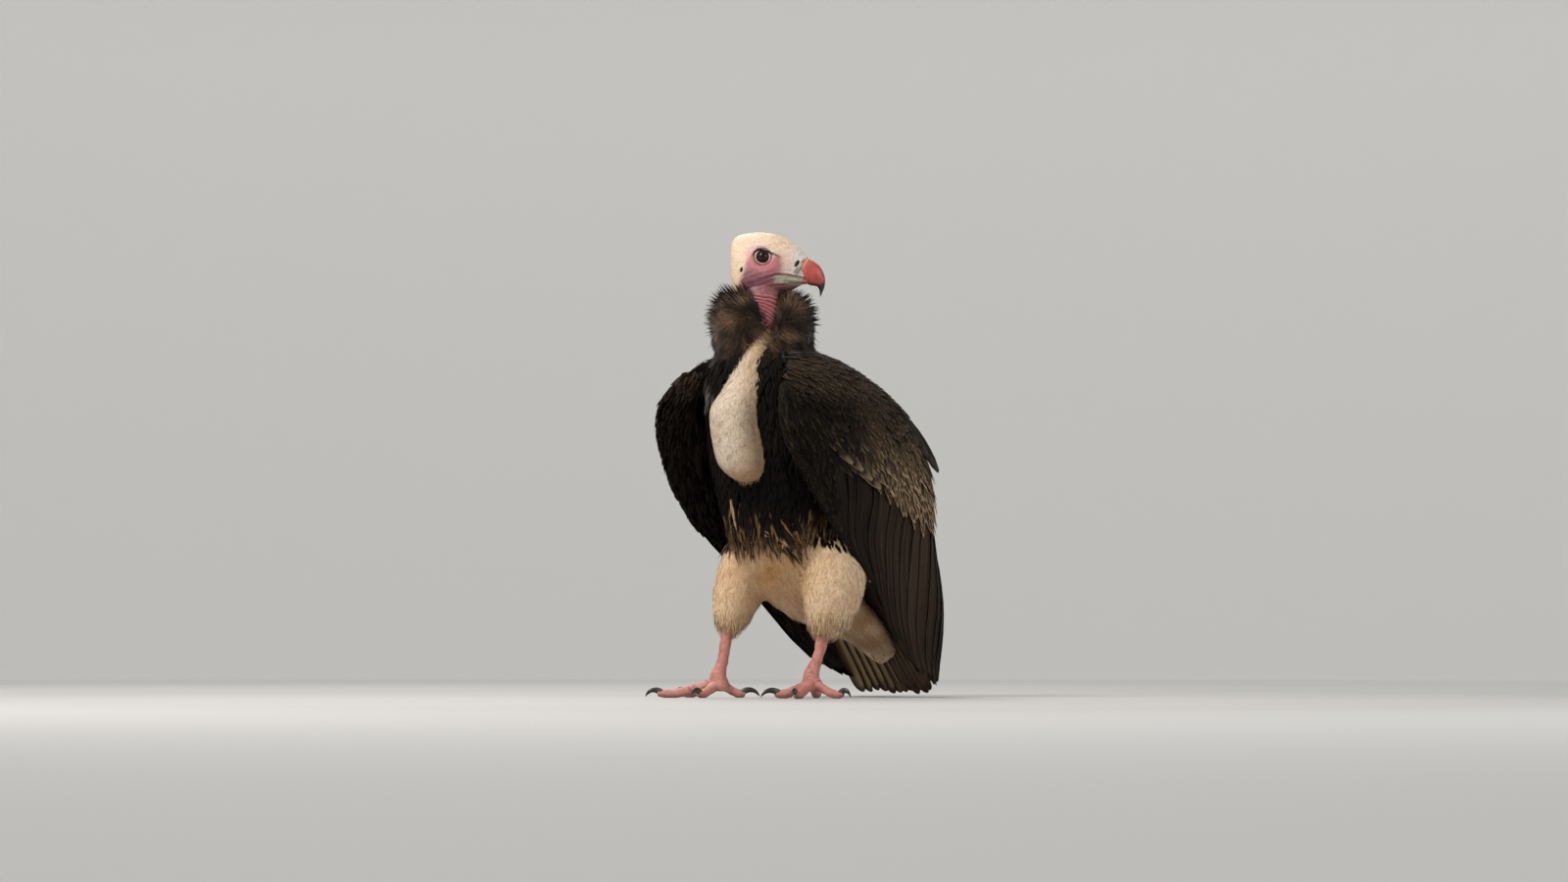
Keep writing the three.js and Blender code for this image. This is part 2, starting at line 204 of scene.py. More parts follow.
def vertex_normals(points, faces):
    normals = np.zeros_like(points)
    for f in faces:
        a, b, c, d = (points[f[:, k]] for k in (0, 1, 2, -1))
        across = np.cross(c - a, d - b) if f.shape[1] == 4 else np.cross(b - a, c - a)
        for k in range(f.shape[1]):
            np.add.at(normals, f[:, k], across)
    return unit(normals)


def merged(parts):
    """Joins (points, faces) parts into one."""
    points, tris, quads, start = [], [], [], 0
    for p, faces in parts:
        points.append(p)
        for f in faces:
            (quads if f.shape[1] == 4 else tris).append(f + start)
        start += len(p)
    return np.concatenate(points), [np.concatenate(k) for k in (quads, tris) if k]


def mesh_object(name, points, faces):
    mesh = bpy.data.meshes.new(name)
    mesh.vertices.add(len(points))
    mesh.vertices.foreach_set("co", to_frame(points).astype(np.float32).ravel())
    loops = np.concatenate([f.ravel() for f in faces]).astype(np.int32)
    sizes = np.concatenate([np.full(len(f), f.shape[1]) for f in faces])
    mesh.loops.add(len(loops))
    mesh.loops.foreach_set("vertex_index", loops)
    mesh.polygons.add(len(sizes))
    mesh.polygons.foreach_set("loop_start", np.concatenate([[0], np.cumsum(sizes)[:-1]]).astype(np.int32))
    mesh.update(calc_edges=True)
    mesh.validate()
    piece = bpy.data.objects.new(name, mesh)
    bpy.context.scene.collection.objects.link(piece)
    return piece


def read_all(items, key, each=1, kind=np.int32):
    values = np.empty(len(items) * each, kind)
    items.foreach_get(key, values)
    return values


def read_mesh(piece):
    mesh = piece.data
    points = read_all(mesh.vertices, "co", 3, np.float32)
    loops, sizes = read_all(mesh.loops, "vertex_index"), read_all(mesh.polygons, "loop_total")
    starts = np.concatenate([[0], np.cumsum(sizes)[:-1]])
    faces = [loops[starts[sizes == count][:, None] + np.arange(count)] for count in (4, 3)
             if (sizes == count).any()]
    return to_bird(points.reshape(-1, 3).astype(float)), faces


def fused(parts, voxel, smoothing):
    """One closed surface round overlapping solids, remeshed evenly and smoothed."""
    piece = mesh_object("fusing", *merged(parts))
    remesh = piece.modifiers.new("Remesh", "REMESH")
    remesh.mode = "VOXEL"
    remesh.voxel_size = voxel * MM
    softened = piece.modifiers.new("Smooth", "SMOOTH")
    softened.factor = 0.5
    softened.iterations = smoothing
    with bpy.context.temp_override(object=piece, active_object=piece, selected_objects=[piece]):
        for modifier in ("Remesh", "Smooth"):
            bpy.ops.object.modifier_apply(modifier=modifier)
    result = read_mesh(piece)
    bpy.data.objects.remove(piece)
    return result


def node_solid(name, swell):
    """A CAD node's solid, welded and swollen a little so that neighbours overlap."""
    points, (faces,) = read_mesh(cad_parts[name])
    _, first, place = np.unique(np.round(points, 2), axis=0, return_index=True, return_inverse=True)
    points, faces = points[first], place.reshape(-1)[faces]
    faces = faces[(faces[:, 0] != faces[:, 1]) & (faces[:, 1] != faces[:, 2]) & (faces[:, 2] != faces[:, 0])]
    return points + vertex_normals(points, [faces]) * swell, [faces]


def near_tree(points):
    tree = KDTree(len(points))
    for i, p in enumerate(points.tolist()):
        tree.insert(p, i)
    tree.balance()
    return tree


class Surface:
    """A surface that feathers lie on: gives the nearest place and the way out from there."""

    def __init__(self, points, faces):
        self.points, self.faces = points, faces
        self.normals = vertex_normals(points, faces)
        self.flat = [row for k in faces for row in k.tolist()]
        self.tree = BVHTree.FromPolygons(points.tolist(), self.flat)

    def snap(self, points):
        """Nearest points on the surface, with the smooth outward normals there."""
        places, normals = np.empty_like(points), np.empty_like(points)
        for i, p in enumerate(points.tolist()):
            place, _, face, _ = self.tree.find_nearest(p)
            places[i] = place
            corners = self.flat[face]
            away = np.linalg.norm(self.points[corners] - places[i], axis=1)
            normals[i] = 1 / (away + 0.3) @ self.normals[corners]
        return places, unit(normals)

    def scatter(self, spacing, keep, seed, oversample=7):
        """Evenly strewn points where keep(points) is above 0; it also scales the density there."""
        rng = np.random.default_rng(seed)
        tris = np.concatenate([f[:, :3] for f in self.faces] +
                              [f[:, [0, 2, 3]] for f in self.faces if f.shape[1] == 4])
        a, b, c = (self.points[tris[:, k]] for k in range(3))
        area = np.linalg.norm(np.cross(b - a, c - a), axis=1) / 2
        area = area * (keep((a + b + c) / 3) > 0)
        total = int(area.sum() / spacing**2 * oversample)
        pick = rng.choice(len(tris), total, p=area / area.sum())
        s, t = rng.random((2, total))
        over = s + t > 1
        s, t = np.where(over, 1 - s, s), np.where(over, 1 - t, t)
        points = a[pick] + (b - a)[pick] * s[:, None] + (c - a)[pick] * t[:, None]
        share = keep(points).astype(float)
        points, share = points[share > 0], share[share > 0]
        gap = spacing / np.sqrt(np.clip(share, 0.05, 1))
        tree = near_tree(points)
        free = np.ones(len(points), bool)
        taken = []
        for i, p in enumerate(points.tolist()):
            if free[i]:
                taken.append(i)
                for _, j, _ in tree.find_range(p, gap[i]):
                    free[j] = False
        return points[taken]


# ------------------------------------------------------------------ material nodes


class Nodes:
    """Short names for adding and joining shader nodes."""

    def __init__(self, tree):
        self.tree = tree

    def add(self, kind, inputs=None, **settings):
        node = self.tree.nodes.new(kind)
        for key, value in settings.items():
            setattr(node, key, value)
        for key, value in (inputs or {}).items():
            self.put(node.inputs[key], value)
        return node

    def put(self, socket, value):
        if isinstance(value, bpy.types.NodeSocket):
            self.tree.links.new(value, socket)
        elif isinstance(value, np.ndarray):
            socket.default_value = (*value[:3], 1.0) if len(socket.default_value) == 4 else tuple(value)
        else:
            socket.default_value = value

    def maths(self, operation, a, b=0.0, c=0.0, clamp=False):
        return self.add("ShaderNodeMath", {0: a, 1: b, 2: c}, operation=operation, use_clamp=clamp).outputs[0]

    def mix(self, amount, a, b, kind="MIX"):
        node = self.add("ShaderNodeMix", data_type="RGBA", blend_type=kind)
        for key, value in ((0, amount), (6, a), (7, b)):
            self.put(node.inputs[key], value)
        return node.outputs[2]

    def darken(self, amount, colour, by):
        """A colour multiplied by another, by the given amount."""
        return self.mix(amount, colour, self.mix(1.0, colour, by, "MULTIPLY"))

    def steps(self, value, stops):
        node = self.add("ShaderNodeValToRGB", {0: value})
        ends = node.color_ramp.elements
        while len(ends) < len(stops):
            ends.new(0.5)
        for end, (place, level) in zip(ends, stops):
            end.position = place
            end.color = (level, level, level, 1) if np.isscalar(level) else (*level, 1)
        return node.outputs[0]

    def object_place(self, scale=(1, 1, 1)):
        place = self.add("ShaderNodeTexCoord").outputs["Object"]
        return self.add("ShaderNodeMapping", {"Vector": place, "Scale": scale}).outputs[0]

    def noise(self, place, scale, detail=3.0, rough=0.5):
        return self.add("ShaderNodeTexNoise", {"Vector": place, "Scale": scale, "Detail": detail,
                                               "Roughness": rough}).outputs[0]


def shader_group(name, inputs, outputs, build):
    """A shader node group; build(nodes, inputs) returns the output sockets by name."""
    tree = bpy.data.node_groups.new(name, "ShaderNodeTree")
    for label, kind, value in inputs:
        socket = tree.interface.new_socket(label, in_out="INPUT", socket_type=kind)
        socket.default_value = value
    for label, kind in outputs:
        tree.interface.new_socket(label, in_out="OUTPUT", socket_type=kind)
    nodes = Nodes(tree)
    given = tree.nodes.new("NodeGroupInput").outputs
    made = build(nodes, given)
    ends = tree.nodes.new("NodeGroupOutput").inputs
    for label, socket in made.items():
        tree.links.new(socket, ends[label])
    return tree


def build_vane(nodes, given):
    """Barbs slanting off the shaft of a feather, long strands, its shaft and its two edges."""
    split = nodes.add("ShaderNodeSeparateXYZ", {0: nodes.add("ShaderNodeUVMap", uv_map="Vane").outputs[0]})
    beside, along = split.outputs[0], split.outputs[1]
    lot = nodes.add("ShaderNodeAttribute", attribute_name="lot").outputs["Fac"]
    across = nodes.maths("ABSOLUTE", nodes.maths("MULTIPLY_ADD", beside, 2.0, -1.0))
    slant = nodes.maths("SUBTRACT", along, nodes.maths("MULTIPLY", across, given["Slant"]))

    def streaks(fine_along, fine_across, rough, stops):
        place = nodes.add("ShaderNodeCombineXYZ", {0: nodes.maths("MULTIPLY", slant, fine_along),
                                                   1: nodes.maths("MULTIPLY", beside, fine_across), 2: lot})
        return nodes.steps(nodes.noise(place.outputs[0], 1.0, 4.0, rough), stops)

    streak = streaks(given["Barbs"], 1.5, 0.65, [(0.3, 0.0), (0.7, 1.0)])
    strand = streaks(given["Strands"], given["Across"], 0.6, [(0.42, 0.0), (0.72, 1.0)])
    shaft = nodes.steps(across, [(0.0, 1.0), (0.1, 0.0)])
    wider = nodes.maths("MULTIPLY_ADD", given["Pale"], 0.22, across)
    rim = nodes.maths("MULTIPLY", nodes.steps(wider, [(0.88, 0.0), (1.12, 1.0)]),
                      nodes.steps(along, [(0.3, 0.15), (0.65, 1.0)]))
    rim = nodes.maths("MAXIMUM", rim, nodes.steps(along, [(0.86, 0.0), (0.98, 1.0)]))
    height = nodes.maths("ADD", nodes.maths("MULTIPLY", streak, 0.6), nodes.maths("MULTIPLY", shaft, 1.2))
    return {"Streak": streak, "Strand": strand, "Rim": rim, "Height": height}


def build_speckle(nodes, given):
    """Breaks a colour up into lighter and darker patches."""
    level = nodes.steps(nodes.noise(nodes.object_place(), given["Scale"], 4.0, 0.6), [(0.3, 0.0), (0.7, 1.0)])
    dark = nodes.mix(1.0, given["Colour"], given["Dark"], "MULTIPLY")
    return {"Colour": nodes.mix(level, dark, given["Colour"])}


def build_scales(nodes, given):
    """Small raised plates with cracks between them, as on a bird's leg."""
    place = nodes.object_place((1, 1, 2.2))
    cells = nodes.add("ShaderNodeTexVoronoi", {"Vector": place, "Scale": given["Scale"]},
                      feature="DISTANCE_TO_EDGE").outputs[0]
    return {"Plate": nodes.steps(cells, [(0.02, 0.0), (0.2, 1.0)])}


COLOUR, VALUE = "NodeSocketColor", "NodeSocketFloat"
VANE = shader_group("vane barbs",
                    [("Barbs", VALUE, 40.0), ("Slant", VALUE, 0.25), ("Pale", VALUE, 0.5),
                     ("Strands", VALUE, 3.0), ("Across", VALUE, 4.0)],
                    [("Streak", VALUE), ("Strand", VALUE), ("Rim", VALUE), ("Height", VALUE)], build_vane)
SPECKLE = shader_group("speckle", [("Colour", COLOUR, (1, 1, 1, 1)), ("Dark", COLOUR, (0.5, 0.5, 0.5, 1)),
                                   ("Scale", VALUE, 60.0)], [("Colour", COLOUR)], build_speckle)
SCALES = shader_group("leg scales", [("Scale", VALUE, 400.0)], [("Plate", VALUE)], build_scales)


def new_material(name, roughness, **uniform):
    material = bpy.data.materials.new(name)
    material.use_nodes = True
    nodes = Nodes(material.node_tree)
    shader = material.node_tree.nodes["Principled BSDF"]
    shader.inputs["Roughness"].default_value = roughness
    for key, value in uniform.items():
        shader.inputs[key.replace("_", " ").title().replace("Ior", "IOR")].default_value = value
    return material, nodes, shader


def grouped(nodes, tree, **inputs):
    node = nodes.add("ShaderNodeGroup", node_tree=tree)
    for key, value in inputs.items():
        nodes.put(node.inputs[key], value)
    return node.outputs


def bumped(nodes, shader, height, strength, distance):
    bump = nodes.add("ShaderNodeBump", {"Height": height, "Strength": strength, "Distance": distance})
    nodes.put(shader.inputs["Normal"], bump.outputs[0])


def painted(nodes):
    """The colour and the alpha painted on the mesh."""
    coat = nodes.add("ShaderNodeAttribute", attribute_name="coat").outputs
    return coat["Color"], coat["Alpha"]


def skin_material():
    """Skin, bare or under the coat. The painted alpha is 1 on the scaly feet and 0.5 on the bare face."""
    material, nodes, shader = new_material("skin", 0.55)
    colour, alpha = painted(nodes)
    scaly = nodes.steps(alpha, [(0.7, 0.0), (0.9, 1.0)])
    speckled = grouped(nodes, SPECKLE, Colour=colour, Dark=shade(228, 216, 210), Scale=330.0)["Colour"]
    plates = grouped(nodes, SCALES, Scale=290.0)["Plate"]
    # The cracks between the scaly plates are painted darker, a painted shade in the cracks.
    cracked = nodes.darken(nodes.maths("MULTIPLY", scaly, 0.16), speckled, plates)
    nodes.put(shader.inputs["Base Color"], cracked)
    pores = nodes.noise(nodes.object_place(), 900.0, 3.0, 0.6)
    wrinkles = nodes.noise(nodes.object_place((1, 1, 2.5)), 260.0, 4.0, 0.6)
    fine = nodes.maths("ADD", nodes.maths("MULTIPLY", pores, 0.4), wrinkles)
    nodes.put(shader.inputs["Roughness"], nodes.steps(alpha, [(0.05, 1.0), (0.4, 0.5)]))
    height = nodes.add("ShaderNodeMix", {0: scaly, 2: fine, 3: plates}, data_type="FLOAT").outputs[0]
    bumped(nodes, shader, height, 0.6, 0.0006)
    return material


def plumage_material(name, rim_colour, rim_amount, barbs, streaks, strands=0.25, across=4.0):
    """A vane painted by its own colours, with paler edges, slanting barbs, long strands and a shaft."""
    material, nodes, shader = new_material(name, 0.62, specular_ior_level=0.08)
    colour, pale = painted(nodes)
    vane = grouped(nodes, VANE, Barbs=barbs, Pale=pale, Across=across)
    dark = nodes.darken(nodes.maths("MULTIPLY", vane["Streak"], streaks), colour, shade(150, 140, 134))
    level = nodes.maths("MULTIPLY", vane["Strand"], nodes.maths("MULTIPLY", pale, strands))
    dark = nodes.mix(level, dark, rim_colour)
    broken = nodes.maths("MULTIPLY_ADD", vane["Streak"], 0.5, 0.5)
    ragged = nodes.maths("MULTIPLY", vane["Rim"], broken, clamp=True)
    rim = nodes.maths("MULTIPLY", ragged, nodes.maths("MULTIPLY", pale, rim_amount))
    nodes.put(shader.inputs["Base Color"], nodes.mix(rim, dark, rim_colour))
    bumped(nodes, shader, nodes.maths("ADD", vane["Height"], vane["Strand"]), 0.5, 0.0006)
    return material


def down_material(name, dark, scale):
    """Soft down: painted colour in lighter and darker patches, with fine fibres and a faint sheen."""
    material, nodes, shader = new_material(name, 0.85, specular_ior_level=0.1, sheen_weight=0.2,
                                           sheen_roughness=0.5)
    speckled = grouped(nodes, SPECKLE, Colour=painted(nodes)[0], Dark=dark, Scale=scale)["Colour"]
    nodes.put(shader.inputs["Base Color"], speckled)
    bumped(nodes, shader, nodes.noise(nodes.object_place((1, 1, 0.4)), 900.0, 3.0, 0.6), 0.4, 0.0008)
    return material


def horn_material(name, roughness, streak_scale, dark, coat=0.3):
    """Horn of bill or claw: painted colour with long streaks and fine scratches."""
    material, nodes, shader = new_material(name, roughness, coat_weight=coat, coat_roughness=0.25)
    streaks = nodes.noise(nodes.object_place((1, 1, 0.35)), streak_scale, 5.0, 0.65)
    level = nodes.steps(streaks, [(0.35, 0.0), (0.7, 1.0)])
    worn = nodes.darken(nodes.maths("MULTIPLY", level, 0.5), painted(nodes)[0], dark)
    nodes.put(shader.inputs["Base Color"], worn)
    nodes.put(shader.inputs["Roughness"], nodes.maths("MULTIPLY_ADD", level, 0.2, roughness))
    bumped(nodes, shader, nodes.maths("ADD", level, nodes.noise(nodes.object_place(), 700.0)), 0.35, 0.0004)
    return material


def eye_material():
    """A dark brown eye under a wet, clear front."""
    material, nodes, shader = new_material("eye", 0.12, specular_ior_level=0.2, coat_weight=0.3,
                                           coat_roughness=0.03)
    fibres = nodes.noise(nodes.object_place(), 500.0, 3.0, 0.7)
    nodes.put(shader.inputs["Base Color"],
              nodes.darken(nodes.maths("MULTIPLY", fibres, 0.5), painted(nodes)[0], shade(120, 110, 100)))
    return material


def finish_mesh(name, points, faces, material, replaces=(), colours=None, maps=None, rim=None,
                normals=None):
    """Makes a finished piece that rides on the body; rim marks the edges of vanes, which stay sharp."""
    piece = mesh_object(name, points, faces)
    mesh = piece.data
    if colours is not None:
        layer = mesh.color_attributes.new("coat", "FLOAT_COLOR", "POINT")
        layer.data.foreach_set("color", colours.astype(np.float32).ravel())
    loops = read_all(mesh.loops, "vertex_index")
    for label, uv in (maps or {}).items():
        layer = mesh.uv_layers.new(name=label)
        layer.uv.foreach_set("vector", uv[loops].astype(np.float32).ravel())
    if rim is not None:
        sharp = rim[read_all(mesh.edges, "vertices", 2).reshape(-1, 2)].all(1)
        mesh.attributes.new("sharp_edge", "BOOLEAN", "EDGE").data.foreach_set("value", sharp)
    if normals is not None:
        mesh.normals_split_custom_set_from_vertices(normals.tolist())
    mesh.materials.append(material)
    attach(piece, "root")
    if replaces:
        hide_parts(*replaces)
    return piece


# ------------------------------------------------------------------ the skin

# Upright sections across the head: ahead of the eyes, chin, crown, half-width, narrowing.
HEAD = [
    (-49.5, -30, 14, 9, 0.1), (-46.5, -46, 27, 20, 0.15), (-38, -60, 34.5, 27, 0.22),
    (-22, -64, 38, 31, 0.28), (-4, -63, 39, 32, 0.3), (12, -60, 37.5, 30.5, 0.3), (27, -54.5, 32, 26, 0.3),
    (41, -47, 24, 20.5, 0.25), (53, -41, 15, 15.8, 0.22), (60, -37, 7, 13.4, 0.2), (65, -33, 1, 11, 0.15),
]
# The column of the bare neck inside the ruff: height, middle x, middle y, half-width, half-depth.
NECK = [(622, 6, 6, 24, 27), (600, 8, 3, 30, 31), (575, 11, -1, 30, 29), (545, 15, -6, 25, 25),
        (515, 16, -12, 21, 20)]

# Lines in the head's side view: ahead of and above the middle of the eye.
BROW = [(-15, 3.0), (-11.5, 7.6), (-7, 10.4), (0, 9.8), (7.4, 7.6), (14, 5.2), (20.6, 2.4), (26, -0.8)]
MOUTH = [(9, -31.8), (13, -29.2), (18, -27.3), (26, -26.6), (36, -26.6), (47, -28.2), (58, -30.4), (66, -33)]
MANDIBLE_EDGE = [(14, -42.5), (25, -41.4), (36, -39.8), (47.5, -38.4), (57, -38.8), (66, -37.5)]
GROOVE = [(46.5, -24), (50.5, -17.5), (54.5, -10.5), (61, -3)]
HORN_LINE = [(66.5, 3.5), (62.5, -4.5), (57.8, -12.5), (53, -20), (49, -26.2)]
# Ovals there: middle, long and short half size, lean.
NOSTRIL = (50.2, -9.6, 5.8, 2.6, math.radians(58))
EAR = (-31.4, -19.6, 3.9, 1.9, math.radians(76))


def oval(u, h, place):
    """Distance from an oval mark's middle, 1 on its outline."""
    middle_u, middle_h, long, short, lean = place
    along = (u - middle_u) * math.cos(lean) + (h - middle_h) * math.sin(lean)
    over = -(u - middle_u) * math.sin(lean) + (h - middle_h) * math.cos(lean)
    return np.hypot(along / long, over / short)


def head_solid():
    a = circle(64)
    rise = rounded(np.sin(a), 0.92)
    ahead, chin, crown, half, narrow = station(HEAD, np.linspace(0, 1, 80)).T[..., None]
    right = half * rounded(np.cos(a), 0.9) * (1 - narrow * rise)
    return ring_solid(head_point(ahead + 0 * right, right, (chin + crown) / 2 + (crown - chin) / 2 * rise))


def neck_solid():
    a = circle(48)
    z, x, y, wide, deep = station(NECK, np.linspace(0, 1, 24)).T[..., None]
    return ring_solid(np.stack([x + wide * np.cos(a), y + deep * np.sin(a), z + 0 * a], -1))


def throat_wrinkles(points, u, h):
    """Waves that run round the throat and drop towards its front."""
    bend = (0.16 + 0.5 * ramp(-h, 60, 96)) * (u - 4)
    return np.sin((-h - bend + 1.7 * waves(points, 16, 7, 3)) * 2 * math.pi / 5.6)


def sculpt_head(points, faces):
    """Brow, eye sockets, mouth, cere, nostrils, ears, cheek folds and the wrinkles of the throat."""
    normals = vertex_normals(points, faces)
    u, r, h = head_place(points)
    side = ramp(np.abs(r), 5, 12)
    eye = np.hypot(u, h)
    brow = line_distance(u, h, BROW)
    near_brow = side * ramp(u, -22, -12) * (1 - ramp(u, 21, 30))
    ridge = bell(brow, 1.6, np.where(brow > 1.6, 7.0, 1.3)) * (0.25 + 0.75 * bell(u, -1, 13))
    push = near_brow * (4.4 * ridge - 1.0 * bell(brow, -0.9, 0.9))
    push += side * (-1.9 * (1 - ramp(eye, 10, 18)) - 9.0 * (1 - ramp(eye, 8.2, 10.2)))
    bags = side * ramp(-h, 0, 9) * (1 - ramp(eye, 18, 25))
    push += bags * (-0.55 * bell(eye, 15.2, 0.9) - 0.4 * bell(eye, 18.4, 0.8) + 0.5 * bell(eye, 16.8, 1.0))
    mouth = line_distance(u, h, MOUTH)
    at_mouth = side * ramp(u, 6, 14) * (1 - ramp(u, 62, 66))
    lips = -1.5 * bell(mouth, 0, 0.9) + 0.7 * bell(mouth, 2.4, 1.6) - 0.6 * bell(mouth, 5.4, 0.8)
    push += at_mouth * lips
    jaw = line_distance(u, h, MANDIBLE_EDGE)
    at_jaw = side * ramp(u, 12, 20)
    push += at_jaw * (-1.3 * bell(jaw, -0.8, 1.1) + 0.5 * bell(jaw, 2.5, 2.5))
    horn = line_distance(u, h, HORN_LINE)
    beyond = ramp(horn, -0.2, 0.9) * ramp(u, 44, 50) * (mouth > -1)
    push -= 2.6 * beyond + side * 0.9 * bell(horn, -0.8, 0.7) * ramp(u, 46, 50)
    push -= 2.2 * ramp(u, 34, 40) * (mouth < 0.5) * (jaw > -0.5)
    nostril = oval(u, h, NOSTRIL)
    ear = oval(u, h, EAR)
    push += side * (-4.5 * (1 - ramp(nostril, 0.6, 1.05)) + 0.35 * bell(nostril, 1.6, 0.3))
    push += side * (-4.5 * (1 - ramp(ear, 0.6, 1.1)) + 0.6 * bell(ear, 1.45, 0.3))
    groove = line_distance(u, h, GROOVE)
    hollow = 0.8 * bell(groove, 0, 1.1) - 0.4 * bell(groove, -2.2, 1.2)
    push -= side * hollow * ramp(u, 41, 45) * ramp(-h, 0, 3)
    cheek = side * bell(u, 2, 24) * bell(h, -34, 17) * ramp(-h, 14, 22)
    fold = np.sin((h * 0.94 - u * 0.34) * 2 * math.pi / 7.5 + 1.6 * waves(points, 26, 5))
    push += cheek * (0.35 * fold + 0.5 * waves(points, 9, 6))
    throat = ramp(-h, 54, 60)
    push += throat * (0.85 * throat_wrinkles(points, u, h) * (0.75 + 0.5 * waves(points, 14, 9)) - 0.3)
    crease = line_distance(u, h, [(-39, -14), (-35.5, -9), (-33, -5)])
    push -= side * 0.6 * bell(crease, 0, 0.8)
    push += 0.12 * waves(points, 6, 8) * ramp(h, 26, 8)
    return points + normals * push[:, None]


def lid_ring(side):
    """The eyelids: a soft ring that hugs the eyeball, rolls over and sinks into the face."""
    turns = circle(72)
    profile = [(8.4, -2.4), (9.4, -0.1), (10.1, 0.75), (10.9, 0.95), (11.7, 0.55), (12.3, 0.0), (12.9, 0.45),
               (13.8, 0.5), (15.0, -0.2), (16.6, -2.2), (14.0, -4.4), (9.0, -4.6)]
    rim = math.sqrt(EYE_RADIUS**2 - 9.4**2)
    rings = []
    for radius, lift in profile:
        flat = 1 - 0.13 * np.clip(np.sin(turns - 0.45), 0, 1) ** 2 * (radius < 12.5)
        across = EYE_SPREAD + rim + lift - 0.035 * np.cos(turns) * radius - 0.06 * np.sin(turns) * radius
        rings.append(head_point(radius * np.cos(turns), side * across, radius * np.sin(turns) * flat))
    rings = np.stack(rings)
    u, _, h = head_place(rings.reshape(-1, 3))
    above = ramp(line_distance(u, h, BROW), -1.4, 0.4).reshape(rings.shape[:2])
    rings = rings - TO_RIGHT * (side * 3.2 * above)[..., None]
    quads = ring_quads(*rings.shape[:2], closed=True)
    return rings.reshape(-1, 3), [quads if side > 0 else quads[:, ::-1]]


# Where the feet stand, which way the toes point in degrees, and the knees. The pads are pressed flat.
FEET = {"left": {"at": (76, 36), "toes": {"inner": -120, "middle": -64, "outer": -2, "hind": 118},
                 "knee": (78, 57, 90)},
        "right": {"at": (-76, 0), "toes": {"inner": -80, "middle": -128, "outer": -168, "hind": 45},
                  "knee": (-78, 20, 98)}}
TOE_LENGTH = {"inner": 56, "middle": 92, "outer": 64, "hind": 40}
TOE_RADIUS = {"inner": 7.4, "middle": 7.6, "outer": 6.8, "hind": 7}
CLAW_LENGTH = {"inner": 28, "middle": 24, "outer": 20, "hind": 27}
PRESSED = 0.9


def path_tube(rows, slices, sides, across=None, section=None):
    """An oval tube along a smooth path: rows are x, y, z, half-width, half-height."""
    t = np.linspace(0, 1, slices)
    rows_at = station(rows, t)
    step = 0.5 / slices
    ahead, behind = station(rows, np.minimum(t + step, 1)), station(rows, np.maximum(t - step, 0))
    along = unit(ahead[:, :3] - behind[:, :3])
    side = unit(np.cross(UP, along) if across is None else np.tile(across, (slices, 1)))
    up = unit(np.cross(along, side))
    a = circle(sides)
    wide, tall = (np.cos(a), np.sin(a)) if section is None else section(a)
    return (rows_at[:, None, :3] + side[:, None] * (rows_at[:, 3, None] * wide)[..., None]
            + up[:, None] * (rows_at[:, 4, None] * tall)[..., None])


def toe_way(side, digit):
    """The direction of a toe, seen from above."""
    heading = math.radians(FEET[side]["toes"][digit])
    return np.array([math.cos(heading), math.sin(heading)])


def leg_parts(side):
    """The rings of a foot's shank and toes."""
    foot = FEET[side]
    (x, y), (knee_x, knee_y, knee_z) = foot["at"], foot["knee"]
    shank = [(knee_x, knee_y + 1, knee_z + 12, 9, 10.5), (knee_x, knee_y - 2, knee_z - 12, 8, 9.5),
             ((knee_x + x) / 2, (knee_y + y) / 2, 56, 8, 9), (x, y, 34, 12, 11), (x, y, 20, 17, 15),
             (x, y, 10, 15, 13)]
    parts = {"shank": path_tube(shank, 60, 36, across=np.array([1.0, 0, 0]))}
    for digit in DIGITS:
        reach, r = TOE_LENGTH[digit], TOE_RADIUS[digit]
        pad = 0.92 * r
        marks = [(4, 21, r + 2, r + 1), (0.28 * reach, 16, r, r), (0.55 * reach, 9.5, r * 0.86, r * 0.9),
                 (0.78 * reach, pad - PRESSED, pad, pad), (reach, 6.5, r * 0.55, r * 0.6)]
        rows = [(*(np.array([x, y]) + toe_way(side, digit) * d), z, wide, tall) for d, z, wide, tall in marks]
        parts[digit] = path_tube(rows, 60, 28)
    return parts


def leg_solids():
    """Both feet and shanks, with the length along each part for the rings of scales."""
    solids, marks = [], []
    for side in SIDES:
        for part, rings in leg_parts(side).items():
            solids.append(ring_solid(rings))
            middle = rings.mean(1)
            length = np.concatenate([[0], np.cumsum(np.linalg.norm(np.diff(middle, axis=0), axis=1))])
            marks.append(np.column_stack([middle, length, np.full(len(middle), part != "shank")]))
    return solids, np.concatenate(marks)


def sculpt_legs(points, faces, marks):
    """Cross plates on the front of the toes and lower shank, pads below, flat where they stand."""
    normals = vertex_normals(points, faces)
    tree = near_tree(marks[:, :3])
    along, toe = marks[[tree.find(p)[1] for p in points.tolist()], 3:].T
    phase = along + 0.7 * waves(points, 22, 11)
    plates = np.abs(np.sin(phase * math.pi / 4.2))
    upper = ramp(normals[:, 2], -0.1, 0.5)
    ring = np.where(toe > 0, upper, 0.55 * ramp(60 - points[:, 2], 0, 25))
    push = ring * (0.75 * plates - 0.5)
    push += (1 - ring) * 0.3 * waves(points, 4.5, 12)
    push += 0.5 * waves(points, 14, 13)
    push = push * ramp(points[:, 2], 0.4, 3.0)
    moved = points + normals * push[:, None]
    moved[:, 2] = np.maximum(moved[:, 2], 0.05)
    return moved, ring * (1 - ramp(plates, 0.05, 0.5))


